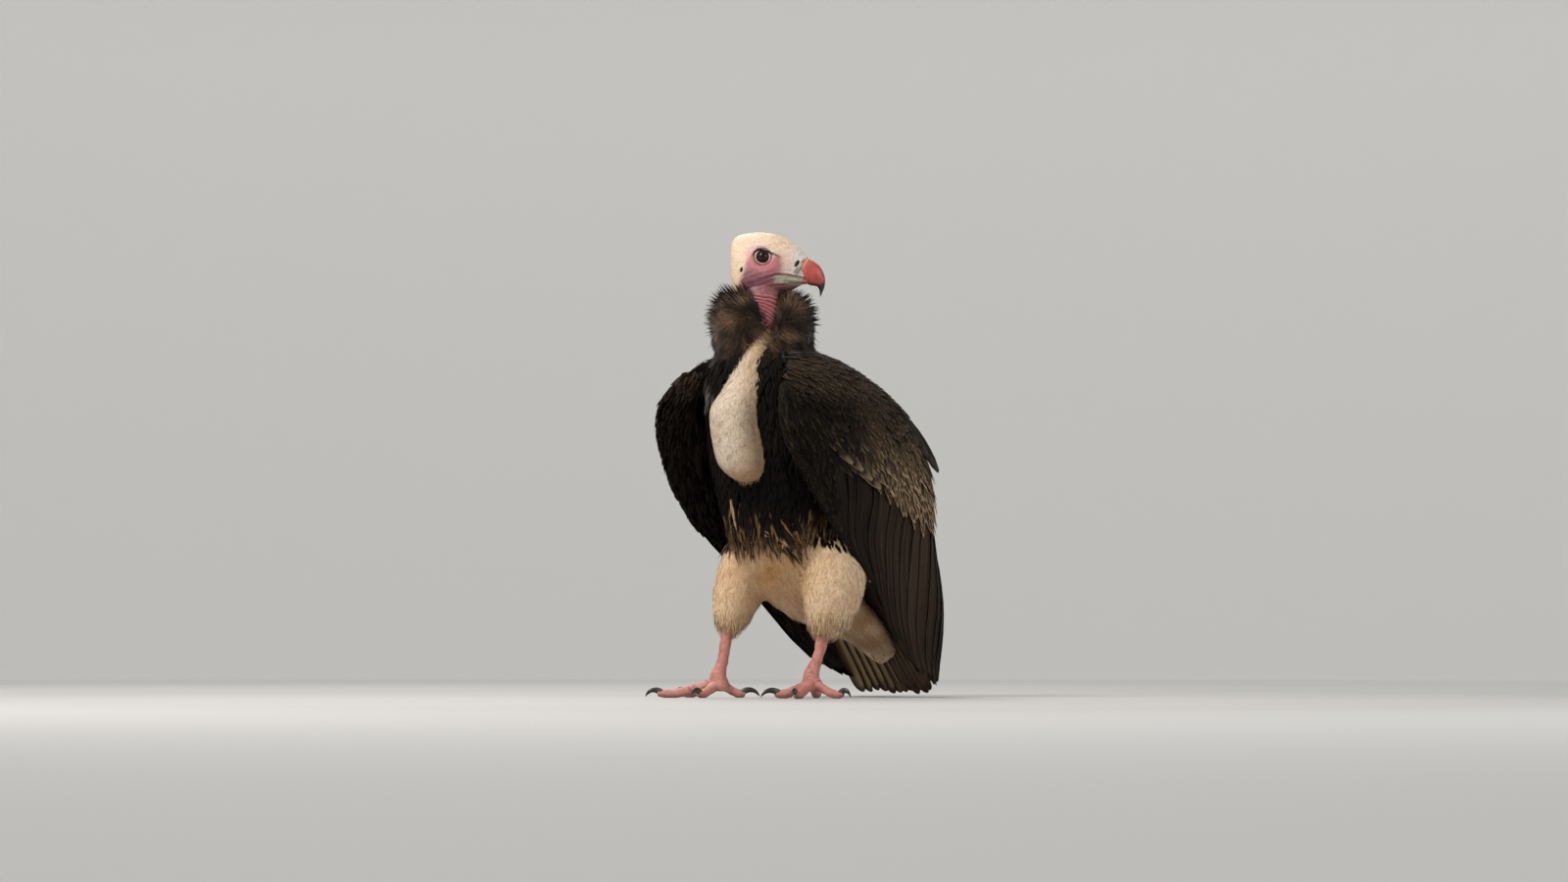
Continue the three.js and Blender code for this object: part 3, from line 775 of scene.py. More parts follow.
# The crop bulges out of the breast towards the left front: height, middle across, half-width, middle
# outwards, half-depth.
CROP_ACROSS = np.array([math.cos(FRONT_LEFT), math.sin(FRONT_LEFT), 0.0])
CROP_OUTWARD = np.array([CROP_ACROSS[1], -CROP_ACROSS[0], 0.0])
CROP = [(316, -20, 5, 56, 6), (321, -17, 19, 52, 20), (338, -20.5, 34.5, 46, 34),
        (364, -24.5, 39.5, 43, 41), (404, -30.5, 39.5, 43, 41), (430, -28, 39.5, 42, 38),
        (457, -16, 31.5, 41, 32), (480, -10, 24, 41, 26), (502, -5, 15, 45, 19), (518, 4, 11.5, 46, 14),
        (530, 11, 9, 40, 11), (542, 17, 7, 30, 9), (552, 21, 5, 20, 7)]


def crop_solid():
    a = circle(48)
    z, across, wide, outward, deep = station(CROP, np.linspace(0, 1, 40)).T[..., None]
    return ring_solid((across + wide * np.cos(a))[..., None] * CROP_ACROSS
                      + (outward + deep * np.sin(a))[..., None] * CROP_OUTWARD + (z + 0 * a)[..., None] * UP)


crop_tree = Surface(*crop_solid()).tree


def crop_share(points):
    """1 on the full crop and its stalk, 0 off it."""
    reach = 6.0
    found = [crop_tree.find_nearest(p, reach) for p in points.tolist()]
    return 1 - ramp([reach if near[0] is None else near[3] for near in found], 2.0, 3.6)


def tail_top(y):
    """The height of the tail's upper face along the middle of the body."""
    return 184 - (y - 176) * 1.178


# The solids that the skin's body is fused from. The crop is made again, finer, as crop_solid().
FLESH = ("trunk", "crop", "neck", "undertail", "wing_left_arm", "wing_right_arm", "thigh_left", "thigh_right")


def coat_depth(points):
    """How thick the coat is over each part of the feathered body."""
    depth = 6.0 + 4.0 * ramp(points[:, 2], 505, 535)
    downy = np.maximum(crop_share(points), belly_share(points))
    return depth + (1.3 - depth) * downy


body_points, body_faces = fused([node_solid(name, 1.0) for name in FLESH if name != "crop"] + [crop_solid()],
                                4.0, 9)
above_tail = body_points[:, 2] - tail_top(body_points[:, 1])
body_points[:, 2] -= np.maximum(above_tail, 0) * ramp(body_points[:, 1], 214, 226) * (body_points[:, 2] < 165)
plumage = Surface(body_points, body_faces)


# ------------------------------------------------------------------ markings of skin and coat

CREAM = shade(216, 195, 168)
WHITE = shade(226, 212, 194)
BLACK = shade(30, 23, 20)
PINK = shade(134, 76, 84)
MAUVE = shade(102, 54, 72)
CERE = shade(198, 198, 192)
MAROON = shade(70, 30, 34)
LEG_PINK = shade(205, 138, 126)


def head_colours(points):
    """Paint for the bare face, throat and the short down of the crown."""
    u, r, h = head_place(points)
    side = ramp(np.abs(r), 5, 12)
    eye = np.hypot(u, h)
    grain = waves(points, 7, 21, 3)
    mouth, jaw, horn, groove, brow = (line_distance(u, h, line)
                                      for line in (MOUTH, MANDIBLE_EDGE, HORN_LINE, GROOVE, BROW))
    cheek = ramp(-(h + 2), -7, 8) * ramp(u - 0.37 * h + 2.5 * grain, -25, -15)
    purple = np.maximum(bell(u, -2, 20) * bell(h, -36, 14), bell(u, -18, 12) * bell(h, -40, 14))
    rosy = np.maximum(ramp(-h, -6, 6), ramp(-u - 0.3 * h, 2, 12) * (1 - ramp(h, 6, 15)))
    lower = side * ramp(u, 13, 24) * ramp(-mouth, 0.5, 2) * ramp(jaw, 0, 1.5)
    # Painted shade in the sculpted creases along the mouth, the lower jaw's edge and the horn's edge.
    crease_shade = (bell(mouth, 0, 0.8) * ramp(u, 9, 14) + 0.9 * bell(jaw, -0.6, 0.9) * ramp(u, 18, 30)
                  + bell(horn, -0.6, 0.7) * ramp(u, 47, 50))
    at_brow = side * ramp(u, -17, -12) * (1 - 0.3 * ramp(u, 9, 16)) * (1 - ramp(u, 19, 29))
    throat = ramp(-h, 52, 60) * ramp(u, -26, -12)
    # The insides of the nostril and the ear hole are painted near black, a painted shade in these deep
    # hollows; their rims are paler skin.
    holes = []
    for mark, rim in ((NOSTRIL, (206, 200, 180)), (EAR, (214, 176, 156))):
        inside = oval(u, h, mark)
        holes += [(rim, 0.5 * side * bell(inside, 1.5, 0.35)),
                  ((16, 10, 9), side * (1 - ramp(inside, 0.85, 1.15)))]
    colour = layered(CREAM, len(points), [
        (WHITE, 0.35 * ramp(waves(points, 26, 22), 0, 1) * ramp(h, 5, 25)),
        ((170, 128, 98),
         0.65 * ramp(waves(points, 3.2, 23, 3), 0.15, 0.8) * ramp(h, 8, 22) * bell(u, 20, 26)),
        ((176, 90, 84),
         0.8 * bell(u, -9, 9) * bell(h, 37, 3.5) * ramp(grain, 0.0, 0.6) * bell(r, 4, 10)),
        (PINK, 0.95 * cheek * (1 - ramp(u, 22, 48))),
        (MAUVE, np.clip(1.2 * side * cheek * purple * (0.8 + 0.3 * grain), 0, 1)),
        ((170, 92, 104), 0.6 * side * bell(u, 17, 9) * bell(h, -12, 9)),
        ((188, 112, 118), 0.75 * side * bell(eye, 18, 7) * rosy),
        ((166, 128, 158), 0.85 * side * bell(u, -6, 13) * bell(h, 13.5, 4.5)),
        ((214, 190, 180), 0.8 * side * ramp(u, 20, 38) * (1 - ramp(h, 8, 20)) * ramp(h, -28, -22)),
        (CERE, 0.9 * ramp(u, 40, 50) * ramp(mouth, -1, 1)),
        ((150, 140, 136), 0.5 * side * bell(u, 40, 8) * bell(h, -17, 7) * ramp(grain, -0.2, 0.8)),
        ((120, 66, 62), 0.85 * ramp(-h, 35, 43) * ramp(u, -6, 14)),
        ((168, 164, 148), 0.9 * lower),
        ((118, 100, 92), 0.45 * lower * ramp(waves(points, 4, 24, 3), 0, 0.8)),
        ((150, 80, 72), 0.75 * lower * ramp(u, 50, 58) * ramp(-h, 30, 34)),
        # Painted shade in the sculpted groove on the cere beside the bill's horn.
        ((74, 58, 48), 0.85 * side * bell(groove, 0, 1.2) * ramp(u, 43, 47) * ramp(-h, 1, 4)),
        # painted shade in the creases of the mouth, jaw and horn edge
        ((44, 24, 22), 0.9 * np.clip(side * crease_shade, 0, 1)),
        # A dark line under the brow ridge, partly dark skin and partly painted shadow of the overhanging
        # ridge, then a painted shade under the brow's forward end.
        ((52, 24, 34), 0.95 * at_brow * ramp(bell(brow, -0.3, 1.9), 0.3, 0.75)),
        ((120, 70, 76), 0.6 * side * bell(np.hypot(u - 23, h + 1.5), 0, 4.2)),
        *holes,
        (MAROON, 0.9 * side * bell(eye, 12.6, 1.3)),
        ((172, 92, 98), 0.9 * throat),
        # Painted shade in the grooves of the throat's wrinkles.
        ((58, 24, 28), 0.9 * throat * ramp(-throat_wrinkles(points, u, h), 0.15, 0.9)),
    ])
    return paint(colour * (1 + 0.07 * grain[:, None]), 0.5)


def lid_colours(points):
    """A thin pale pink rim round the eye inside a dark outline."""
    u, _, h = head_place(points)
    eye = np.hypot(u, h * 1.03)
    brow = line_distance(u, h, BROW)
    return paint(layered((222, 178, 166), len(points), [
        ((34, 18, 18), 1 - ramp(eye, 9.3, 9.9)),
        (MAROON, ramp(eye, 11.2, 12.0)),
        ((176, 106, 112), ramp(eye, 13.2, 14.6)),
        (head_colours(points)[:, :3], ramp(eye, 12.8, 13.8)),
        # The brow's dark line on the lids, partly dark skin and partly painted shadow of the overhanging
        # ridge.
        ((40, 18, 22), ramp(brow, -3.0, -1.8) * (1 - ramp(brow, 0.4, 1.6)))]), 0.5)


def leg_colours(points, creases):
    """Dull pink with redder and paler patches, with painted shade in the creases and under the toes, where
    they meet the ground.
    """
    return paint(layered(LEG_PINK, len(points), [
        ((176, 104, 98), 0.7 * ramp(waves(points, 12, 31, 3), 0, 0.9)),
        ((214, 168, 150), 0.5 * ramp(waves(points, 20, 32), 0.1, 0.9)),
        # painted shade in the creases, then near the ground under the toes
        ((126, 72, 66), 0.5 * creases),
        ((150, 96, 84), 0.6 * (1 - ramp(points[:, 2], 2, 9)))]))


def marking(points):
    """The coat's colour at a place on the body, with the share of pale edge as a fourth value."""
    x, y, z = points.T
    field = waves(points, 30, 41)
    under = belly_share(points)
    across = points @ CROP_ACROSS
    shaded = ramp(points @ CROP_OUTWARD, 90, 0) * bell(across, 25, 60) * bell(z, 190, 70)
    brown = ramp(y, 120, 170) * (1 - ramp(y, 225, 262)) * ramp(x + 0.4 * (y - 190), -30, 10)
    crop_tint = layered(WHITE, len(points), [
        ((206, 178, 146), ramp(across, -45, 15)),
        ((188, 148, 108), 0.85 * (1 - ramp(z, 318, 352))),
        ((172, 138, 104), 0.8 * ramp(z, 505, 540))])
    crop_tint = crop_tint * (1 + 0.05 * waves(points, 9, 42)[:, None])
    crop_tint = blend(crop_tint, shade(150, 118, 90), 0.5 * ramp(waves(points, 5, 43), 0.55, 0.95))
    return paint(layered(BLACK, len(points), [
        ((230, 203, 170), under),
        ((194, 148, 98), under * (0.75 * shaded + 0.25 * ramp(field, -0.3, 0.8))),
        ((200, 164, 124), under * 0.6 * bell(z, 100, 14) * (y < 140)),
        # A brown patch on the undertail, partly its own brown and partly painted shade.
        ((152, 108, 62), under * 0.7 * brown * ramp(field, -1.6, 0.3)),
        (crop_tint, crop_share(points))]), 0.15)


def belly_share(points):
    """1 on the pale belly, thighs and undertail, 0 on the dark breast, back and wings."""
    _, y, z = points.T
    lower = 1 - ramp(z + 0.05 * y, 236, 252)
    over_tail = ramp(z - tail_top(y) - 12, -8, 0) * ramp(y, 120, 140)
    return lower * (1 - over_tail)


# ------------------------------------------------------------------ building the skin piece

head_points, head_faces = fused([head_solid(), neck_solid()], 1.15, 4)
head_points = sculpt_head(head_points, head_faces)


def build_skin():
    """One skin for body, head and legs; it lies under the coat by the coat's depth."""
    coat = coat_depth(body_points)
    inner = body_points - plumage.normals * coat[:, None]
    body_paint = marking(inner)
    body_paint[:, 3] = 0.0
    # The skin under the coat is painted darker than the coat's marking as painted shade under the feathers: a
    # little darker under the down, far darker under the dark feathers.
    downy = np.maximum(crop_share(inner), belly_share(inner))
    body_paint[:, :3] *= (0.3 + 0.63 * downy)[:, None]
    solids, marks = leg_solids()
    leg_points, leg_faces = fused(solids, 1.35, 3)
    leg_points, creases = sculpt_legs(leg_points, leg_faces, marks)
    parts = [(inner, body_faces, body_paint), (head_points, head_faces, head_colours(head_points)),
             (leg_points, leg_faces, leg_colours(leg_points, creases))]
    for side in SIDES.values():
        points, faces = lid_ring(-side)
        parts.append((points, faces, lid_colours(points)))
    points, faces = merged([(p, f) for p, f, _ in parts])
    nodes = [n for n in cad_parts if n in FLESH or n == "head" or n.startswith(("shank", "toe"))]
    return finish_mesh("skin", points, faces, skin_material(), nodes,
                       colours=np.concatenate([c for _, _, c in parts]))


build_skin()

# ------------------------------------------------------------------ eyes, bill and claws

EYE = eye_material()
HORN = horn_material("bill horn", 0.34, 160.0, shade(112, 62, 54))
PALE_HORN = horn_material("lower bill horn", 0.4, 160.0, shade(150, 140, 130), 0.15)
CLAW = horn_material("claw horn", 0.35, 200.0, shade(110, 100, 96))


def build_eye(side):
    """An eyeball with a slightly raised clear front, its axis pointing out and a little ahead."""
    out = unit(TO_RIGHT * side + HEADING * 0.12)
    centre = head_point(0, side * EYE_SPREAD, 0)
    bpy.ops.mesh.primitive_uv_sphere_add(segments=48, ring_count=40, radius=EYE_RADIUS * MM,
                                         location=to_frame(centre).tolist(),
                                         rotation=Vector(out).to_track_quat("Z", "Y").to_euler())
    bpy.ops.object.transform_apply(location=True, rotation=True, scale=True)
    ball = bpy.context.object
    points, faces = read_mesh(ball)
    bpy.data.objects.remove(ball)
    away = unit(points - centre)
    polar = np.arccos(np.clip(away @ out, -1, 1))
    points = points + away * 0.9 * (1 - ramp(polar, 0.35, 0.8))[:, None]
    colour = layered((6, 4, 3), len(points), [((36, 22, 14), ramp(polar, 0.42, 0.52)),
                                              ((16, 10, 8), ramp(polar, 0.76, 0.92))])
    name = "right" if side > 0 else "left"
    finish_mesh(f"eyeball_{name}", points, faces, EYE, (f"eye_{name}",),
                colours=paint(colour, ramp(polar, 0.4, 0.9)))


# Upper bill: top edge and cutting edge in the side view, and the half-width between them.
UPPER_BILL = [
    (50, 4.5, 44, -25.0, 9.5), (58, 3.2, 49.5, -27, 13.0), (65.6, -0.6, 56, -29.6, 13.3),
    (70, -2.8, 63, -37.0, 12.6), (76, -6.2, 68.3, -40.2, 11.8), (82, -11.2, 72.5, -40.9, 10.6),
    (87.8, -20.6, 76.4, -41.6, 8.6), (90.8, -32, 79.4, -42.6, 6.2), (89.7, -42, 81.8, -46.8, 3.8),
    (87, -50, 82.6, -52.4, 2.0), (84, -57, 83, -57.2, 0.5),
]
# Lower bill: ahead, middle height, half-width, half-height.
LOWER_BILL = [(24, -34.5, 27.5, 6.6), (36, -33.4, 23.2, 5.9), (45, -33.6, 18.6, 4.9), (54, -34.2, 14.2, 4.4),
              (61, -34.6, 11.0, 3.8), (66, -34.4, 6.6, 3.0), (71, -33.8, 3.0, 1.6)]


def build_upper_bill():
    level = np.cos(circle(40))
    top_u, top_h, low_u, low_h, half = station(UPPER_BILL, np.linspace(0, 1, 56)).T[..., None]
    keel = 1 - 0.16 * np.clip(-level, 0, 1) ** 3 - 0.16 * np.clip(level, 0, 1) ** 2
    right = half * rounded(np.sin(circle(40)), 0.72) * keel
    points, faces = ring_solid(head_point((top_u + low_u) / 2 + (top_u - low_u) / 2 * level, right,
                                          (top_h + low_h) / 2 + (top_h - low_h) / 2 * level))
    u, _, h = head_place(points)
    normals = vertex_normals(points, faces)
    ridges = 0.18 * waves(points, 7, 51, 3) + 0.3 * bell(line_distance(u, h, HORN_LINE), 1.6, 1.0)
    points = points + normals * ridges[:, None]
    grain = waves(points, 5, 52, 3)
    horn = line_distance(u, h, HORN_LINE)
    tip = ramp(-h + 0.5 * (u - 80) + 1.2 * grain, 37, 44)
    edge = ramp(-h, 37, 41) * (1 - ramp(u, 74, 82))
    colour = layered((180, 74, 62), len(points), [
        ((206, 112, 92), 0.6 * ramp(-h, 12, 0) * ramp(grain, -0.4, 0.8)),
        ((206, 120, 100), 0.5 * bell(horn, 5.0, 4.0) * ramp(-h, -4, 8)),
        ((172, 54, 56), 0.6 * bell(h, -24, 10) * ramp(u, 66, 82)),
        ((150, 52, 46), 0.3 * ramp(grain, 0.1, 0.9)),
        ((228, 176, 140), 0.8 * bell(horn, 1.4, 1.3)),
        ((20, 14, 13), tip),
        # Darker along the cutting edge: partly the bill's own dark edge, partly painted shade where it meets
        # the lower bill.
        ((92, 40, 34), 0.8 * edge)])
    finish_mesh("upper_bill", points, faces, HORN, ("bill_upper",), colours=paint(colour))


def build_lower_bill():
    a = circle(32)
    ahead, height, half, tall = station(LOWER_BILL, np.linspace(0, 1, 40)).T[..., None]
    points, faces = ring_solid(head_point(ahead + 0 * a, half * rounded(np.cos(a), 0.75),
                                          height + tall * rounded(np.sin(a), 0.85)))
    u, _, h = head_place(points)
    colour = layered((172, 168, 150), len(points), [
        ((126, 108, 96), 0.6 * ramp(waves(points, 5, 54, 3), 0, 0.9)),
        ((196, 160, 132), 0.7 * ramp(-h, 35, 39) * ramp(u, 30, 50)),
        ((154, 74, 66), 0.85 * ramp(u, 52, 60)),
        # Dark on the underside: partly the bill's own dark edge, partly painted shade under the bill.
        ((70, 40, 36), ramp(-h, 38.2, 39.6))])
    finish_mesh("lower_bill", points, faces, PALE_HORN, ("bill_lower",), colours=paint(colour))


def claw_section(a):
    """Round above, narrower below."""
    return np.cos(a) * (1 - 0.25 * np.clip(-np.sin(a), 0, 1)), np.sin(a)


def build_claws(side):
    """The four claws of a foot, each a tapering hook. The marks are share of reach, height and half sizes."""
    at = np.array(FEET[side]["at"])
    marks = [(0, 7.8, 3.9, 4.8), (0.2, 10.6, 3.7, 4.7), (0.45, 11.8, 3.1, 4.0), (0.7, 10.2, 2.3, 3.0),
             (0.88, 6.6, 1.4, 1.9), (1.0, 2.2, 0.3, 0.5)]
    for digit in DIGITS:
        way, start, reach = toe_way(side, digit), TOE_LENGTH[digit] - 6, CLAW_LENGTH[digit]
        rows = [(*(at + way * (start + d * reach)), z, wide, tall) for d, z, wide, tall in marks]
        points, faces = ring_solid(path_tube(rows, 36, 20, section=claw_section))
        points[:, 2] = np.maximum(points[:, 2], 0.4)
        along = np.linalg.norm(points[:, :2] - at, axis=1) - start
        colour = layered((86, 64, 56), len(points), [
            ((24, 19, 18), ramp(along / reach, 0.1, 0.5)),
            ((60, 52, 48), 0.6 * ramp(waves(points, 3.5, 61, 3), 0.2, 1))])
        finish_mesh(f"talon_{side}_{digit}", points, faces, CLAW, (f"claw_{side}_{digit}",),
                    colours=paint(colour))


for side in (1, -1):
    build_eye(side)
build_upper_bill()
build_lower_bill()
for side in SIDES:
    build_claws(side)

# ------------------------------------------------------------------ feathers


class Flock:
    """Many feathers or tufts, each a closed vane round its own centreline."""

    def __init__(self, surface, roots, seed):
        self.surface = surface
        self.roots, self.normals = surface.snap(roots)
        self.rng = np.random.default_rng(seed)
        self.count = len(roots)

    @classmethod
    def strewn(cls, surface, spacing, keep, seed, oversample=7):
        return cls(surface, surface.scatter(spacing, keep, seed, oversample), seed + 1)

    def random(self, low=0.0, high=1.0):
        return self.rng.uniform(low, high, self.count)

    def per_feather(self, value):
        return np.broadcast_to(np.asarray(value, float), (self.count,))

    def lay(self, flow, length, rows, depth, lift, free=1.0, spread=0.12, rise=1.0):
        """Runs the centrelines over the surface along the flow. Roots lie at depth under it and tips end
        at lift over it; past the free share of its length a feather no longer follows the surface."""
        stride = (self.per_feather(length) / (rows - 1))[:, None]
        lift = self.per_feather(lift)
        place, normal = self.roots.copy(), self.normals.copy()
        turn = self.rng.normal(0, spread, self.count)
        lines, ways = [place.copy()], [normal.copy()]
        heading = None
        for k in range(1, rows):
            if heading is None or k / (rows - 1) <= free:
                along = flow(place, normal)
                along = unit(along - normal * np.einsum("ij,ij->i", along, normal)[:, None])
                beside = np.cross(normal, along)
                heading = unit(along * np.cos(turn)[:, None] + beside * np.sin(turn)[:, None])
            place = place + heading * stride
            if k / (rows - 1) <= free:
                place, normal = self.surface.snap(place)
            lines.append(place.copy())
            ways.append(normal.copy())
        share = np.linspace(0, 1, rows)
        height = -depth * (1 - share)[:, None] ** 1.5 + lift * (share**rise)[:, None]
        self.ways = np.stack(ways, 1)
        self.lines = np.stack(lines, 1) + self.ways * height.T[..., None]
        self.rows = rows

    def stand(self, leaning, length, rows, depth, bend=0.0):
        """Straight tufts that point along leaning(place, normal), bending down by the given share."""
        stride = (self.per_feather(length) / (rows - 1))[:, None]
        heading = unit(leaning(self.roots, self.normals))
        place = self.roots - self.normals * depth
        lines = [place.copy()]
        for _ in range(1, rows):
            place = place + heading * stride
            heading = unit(heading - UP * bend)
            lines.append(place.copy())
        self.lines = np.stack(lines, 1)
        along = unit(self.lines[:, -1] - self.lines[:, 0])
        self.normals = unit(self.normals - along * np.einsum("ij,ij->i", along, self.normals)[:, None]
                            + 1e-3 * UP)
        self.ways = np.repeat(self.normals[:, None], rows, 1)
        self.rows = rows

    def vanes(self, half_width, profile, columns=3, cup=0.25, thick=0.35, ragged=0.1, roll=0.1, offset=0.0,
              soft=0.0):
        """Widens the centrelines to closed vanes. The profile gives the width's share from root to tip."""
        rows, count = self.rows, self.count
        half_width = self.per_feather(half_width)[:, None, None]
        along = np.gradient(self.lines, axis=1)
        across = unit(np.cross(along, self.ways))
        over = unit(np.cross(across, along))
        tilt = self.rng.normal(0, roll, count)[:, None, None]
        across, over = (across * np.cos(tilt) + over * np.sin(tilt),
                        over * np.cos(tilt) - across * np.sin(tilt))
        share = np.interp(np.linspace(0, 1, rows), np.linspace(0, 1, len(profile)), profile)
        t = np.linspace(-1, 1, columns)
        width = half_width * share[None, :, None] * np.ones(columns)
        loss = 1 - ragged * self.rng.random((count, rows, columns)) * (np.abs(t) > 0.9)
        side = (t + offset * (1 - t * t)) * width * loss
        drop = -cup * half_width * share[None, :, None] * t**2 + 0.12 * thick * (np.abs(t) < 0.1)
        top = (self.lines[:, :, None] + across[:, :, None] * side[..., None]
               + over[:, :, None] * drop[..., None])
        inner = slice(1, -1)
        body = share[None, inner, None, None] ** 0.5 * thick
        under = top[:, inner, inner] - over[:, inner, None] * body
        ways = np.broadcast_to(self.ways[:, :, None], top.shape)
        per = rows * columns + (rows - 2) * (columns - 2)

        def joined(upper, lower):
            both = np.concatenate([upper.reshape(count, -1, 3), lower.reshape(count, -1, 3)], 1)
            return both.reshape(-1, 3)

        self.points = joined(top, under)
        self.outward = joined(ways, ways[:, inner, inner])
        upper = np.arange(rows * columns).reshape(rows, columns)
        lower = upper.copy()
        lower[inner, inner] = np.arange(rows * columns, per).reshape(rows - 2, columns - 2)
        cells = []
        for grid, way in ((upper, 1), (lower, -1)):
            quad = np.stack([grid[:-1, :-1], grid[:-1, 1:], grid[1:, 1:], grid[1:, :-1]], -1)
            cells.append(quad.reshape(-1, 4)[:, ::way])
        cells = np.concatenate(cells)
        self.faces = (cells[None] + (np.arange(count) * per)[:, None, None]).reshape(-1, 4)
        u, v = np.meshgrid((t + 1) / 2, np.linspace(0, 1, rows))
        place = np.stack([u, v], -1)
        self.vane = np.tile(np.concatenate([place.reshape(-1, 2), place[inner, inner].reshape(-1, 2)]),
                            (count, 1))
        border = np.zeros((rows, columns), bool)
        border[[0, -1]] = True
        border[:, [0, -1]] = True
        self.rim = np.tile(np.concatenate([border.ravel(), np.zeros(per - rows * columns, bool)]), count)
        self.under = np.tile(np.arange(per) >= rows * columns, count)
        self.per = per
        self.soft = soft

    def press(self, heights, own, tilt, thick=0.6):
        """Lays the finished vanes on the surface: the heights run from root to tip, own is added for each
        feather and the tilt lifts one edge over the neighbour's."""
        place, normal = self.surface.snap(self.points)
        level = np.interp(self.vane[:, 1], np.linspace(0, 1, len(heights)), heights) + self.each(own)
        level = level + tilt * (2 * self.vane[:, 0] - 1) - thick * self.under
        self.points = place + normal * level[:, None]

    def each(self, values):
        """Repeats a value of each feather for all its points."""
        return np.repeat(values, self.per, axis=0)

    def tint(self, colours, light=0.12, root=0.75, tip=1.0, pale=None):
        """Colours each feather, with its own lightness, a darker root and a tip of the given strength."""
        colours = np.broadcast_to(colours, (self.count, colours.shape[-1]))
        rgb = colours[:, :3] * (1 + self.rng.normal(0, light, self.count))[:, None]
        share = self.vane[:, 1]
        strength = np.interp(share, [0, 0.5, 1], [root, (1 + tip) / 2 if tip < 1 else 1.0, tip])
        edge = colours[:, 3] if pale is None else self.per_feather(pale)
        self.colours = paint(self.each(rgb) * strength[:, None], self.each(edge))


def coat_piece(name, flocks, material, replaces=(), patch=None):
    """Joins flocks into one coat piece. Its OFBake map keeps every feather at its root's place."""
    total = sum(f.count for f in flocks)
    roots = np.concatenate([f.roots for f in flocks])
    away = roots - BODY_AXIS
    flat = np.stack([np.arctan2(away[:, 0], -away[:, 1]), roots[:, 2] / 150], -1)
    base = 0.02 + 0.96 * (flat - flat.min(0)) / np.maximum(np.ptp(flat, axis=0).max(), 1e-6)
    size = patch or float(np.clip(0.5 / math.sqrt(total), 0.003, 0.03))
    bake, lots, normals = [], [], []
    start = 0
    for flock in flocks:
        bake.append(flock.each(base[start:start + flock.count]) + (flock.vane - 0.5) * size)
        start += flock.count
        lots.append(flock.each(flock.random(0, 50)))
        if any(f.soft for f in flocks):
            own_way = vertex_normals(flock.points, [flock.faces])
            outward = flock.outward * np.where(flock.under, -1, 1)[:, None]
            own_way = own_way * np.sign(np.einsum("ij,ij->i", own_way, outward))[:, None]
            normals.append(unit(own_way * (1 - flock.soft) + outward * flock.soft))
    colours, vane, rim = (np.concatenate([getattr(f, key) for f in flocks])
                          for key in ("colours", "vane", "rim"))
    points, faces = merged([(f.points, [f.faces]) for f in flocks])
    piece = finish_mesh(name, points, faces, material, replaces, colours,
                        {"Vane": vane, "OFBake": np.concatenate(bake)}, rim,
                        np.concatenate(normals) if normals else None)
    lot = piece.data.attributes.new("lot", "FLOAT", "POINT")
    lot.data.foreach_set("value", np.concatenate(lots).astype(np.float32))


# Widths of a feather from root to tip, as shares of its half-width.
LANCE = [0.35, 0.8, 1.0, 0.95, 0.7, 0.12]
ROUND = [0.35, 0.8, 1.0, 1.0, 0.9, 0.3]
SPIKE = [0.8, 1.0, 0.7, 0.35, 0.06]
BROAD = [0.4, 0.7, 0.9, 1, 1, 1, 1, 1]


def within(points, low, high):
    return (points[:, 2] > low) * (points[:, 2] <= high)


def downward(place, normal):
    return np.tile(-UP, (len(place), 1))


def turned(along, normal, angle):
    beside = np.cross(normal, along)
    return along * np.cos(angle)[:, None] + beside * np.sin(angle)[:, None]


# ---- down of crop, belly and thighs


def crop_flow(place, normal):
    along = np.broadcast_to(-UP * 0.9 - CROP_ACROSS * 0.5, place.shape)
    return along + 0.25 * np.stack([waves(place, 25, 71), waves(place, 25, 72), 0 * place[:, 0]], -1)


def belly_flow(place, normal):
    x, y, _ = place.T
    back = ramp(y, 60, 200)
    along = np.stack([0 * x, 0.15 + 0.9 * back, -1.0 + 0.35 * back], -1)
    return along + 0.3 * np.stack([waves(place, 40, 73), waves(place, 40, 74), 0 * x], -1)


def build_crop_down():
    flock = Flock.strewn(plumage, 1.5, lambda p: crop_share(p) > 0.35, 101, 5)
    size = flock.random(0.8, 1.25)
    flock.lay(crop_flow, 7.5 * size, 3, 1.7, 1.2 * flock.random() ** 4 - 1.1, spread=0.35)
    flock.vanes(0.42 * size, [0.8, 1.0, 0.12], 3, 0.1, 0.14, 0.2, 0.1, soft=0.97)
    tone = marking(flock.roots)
    tone[:, :3] = blend(tone[:, :3], shade(120, 92, 70), 0.6 * (flock.random() > 0.965))
    flock.tint(tone, 0.03, 0.97, 1.0)
    coat_piece("crop_down", [flock], DOWN)


def pale_body(points):
    off_crop = 1 - ramp(crop_share(points), 0.3, 0.5)
    return belly_share(points) * off_crop * np.maximum(ramp(points[:, 2], 88, 92), points[:, 1] > 140)


def thigh_end(points):
    return (points[:, 2] < 128) * (points[:, 2] > 90) * (points[:, 1] < 140)


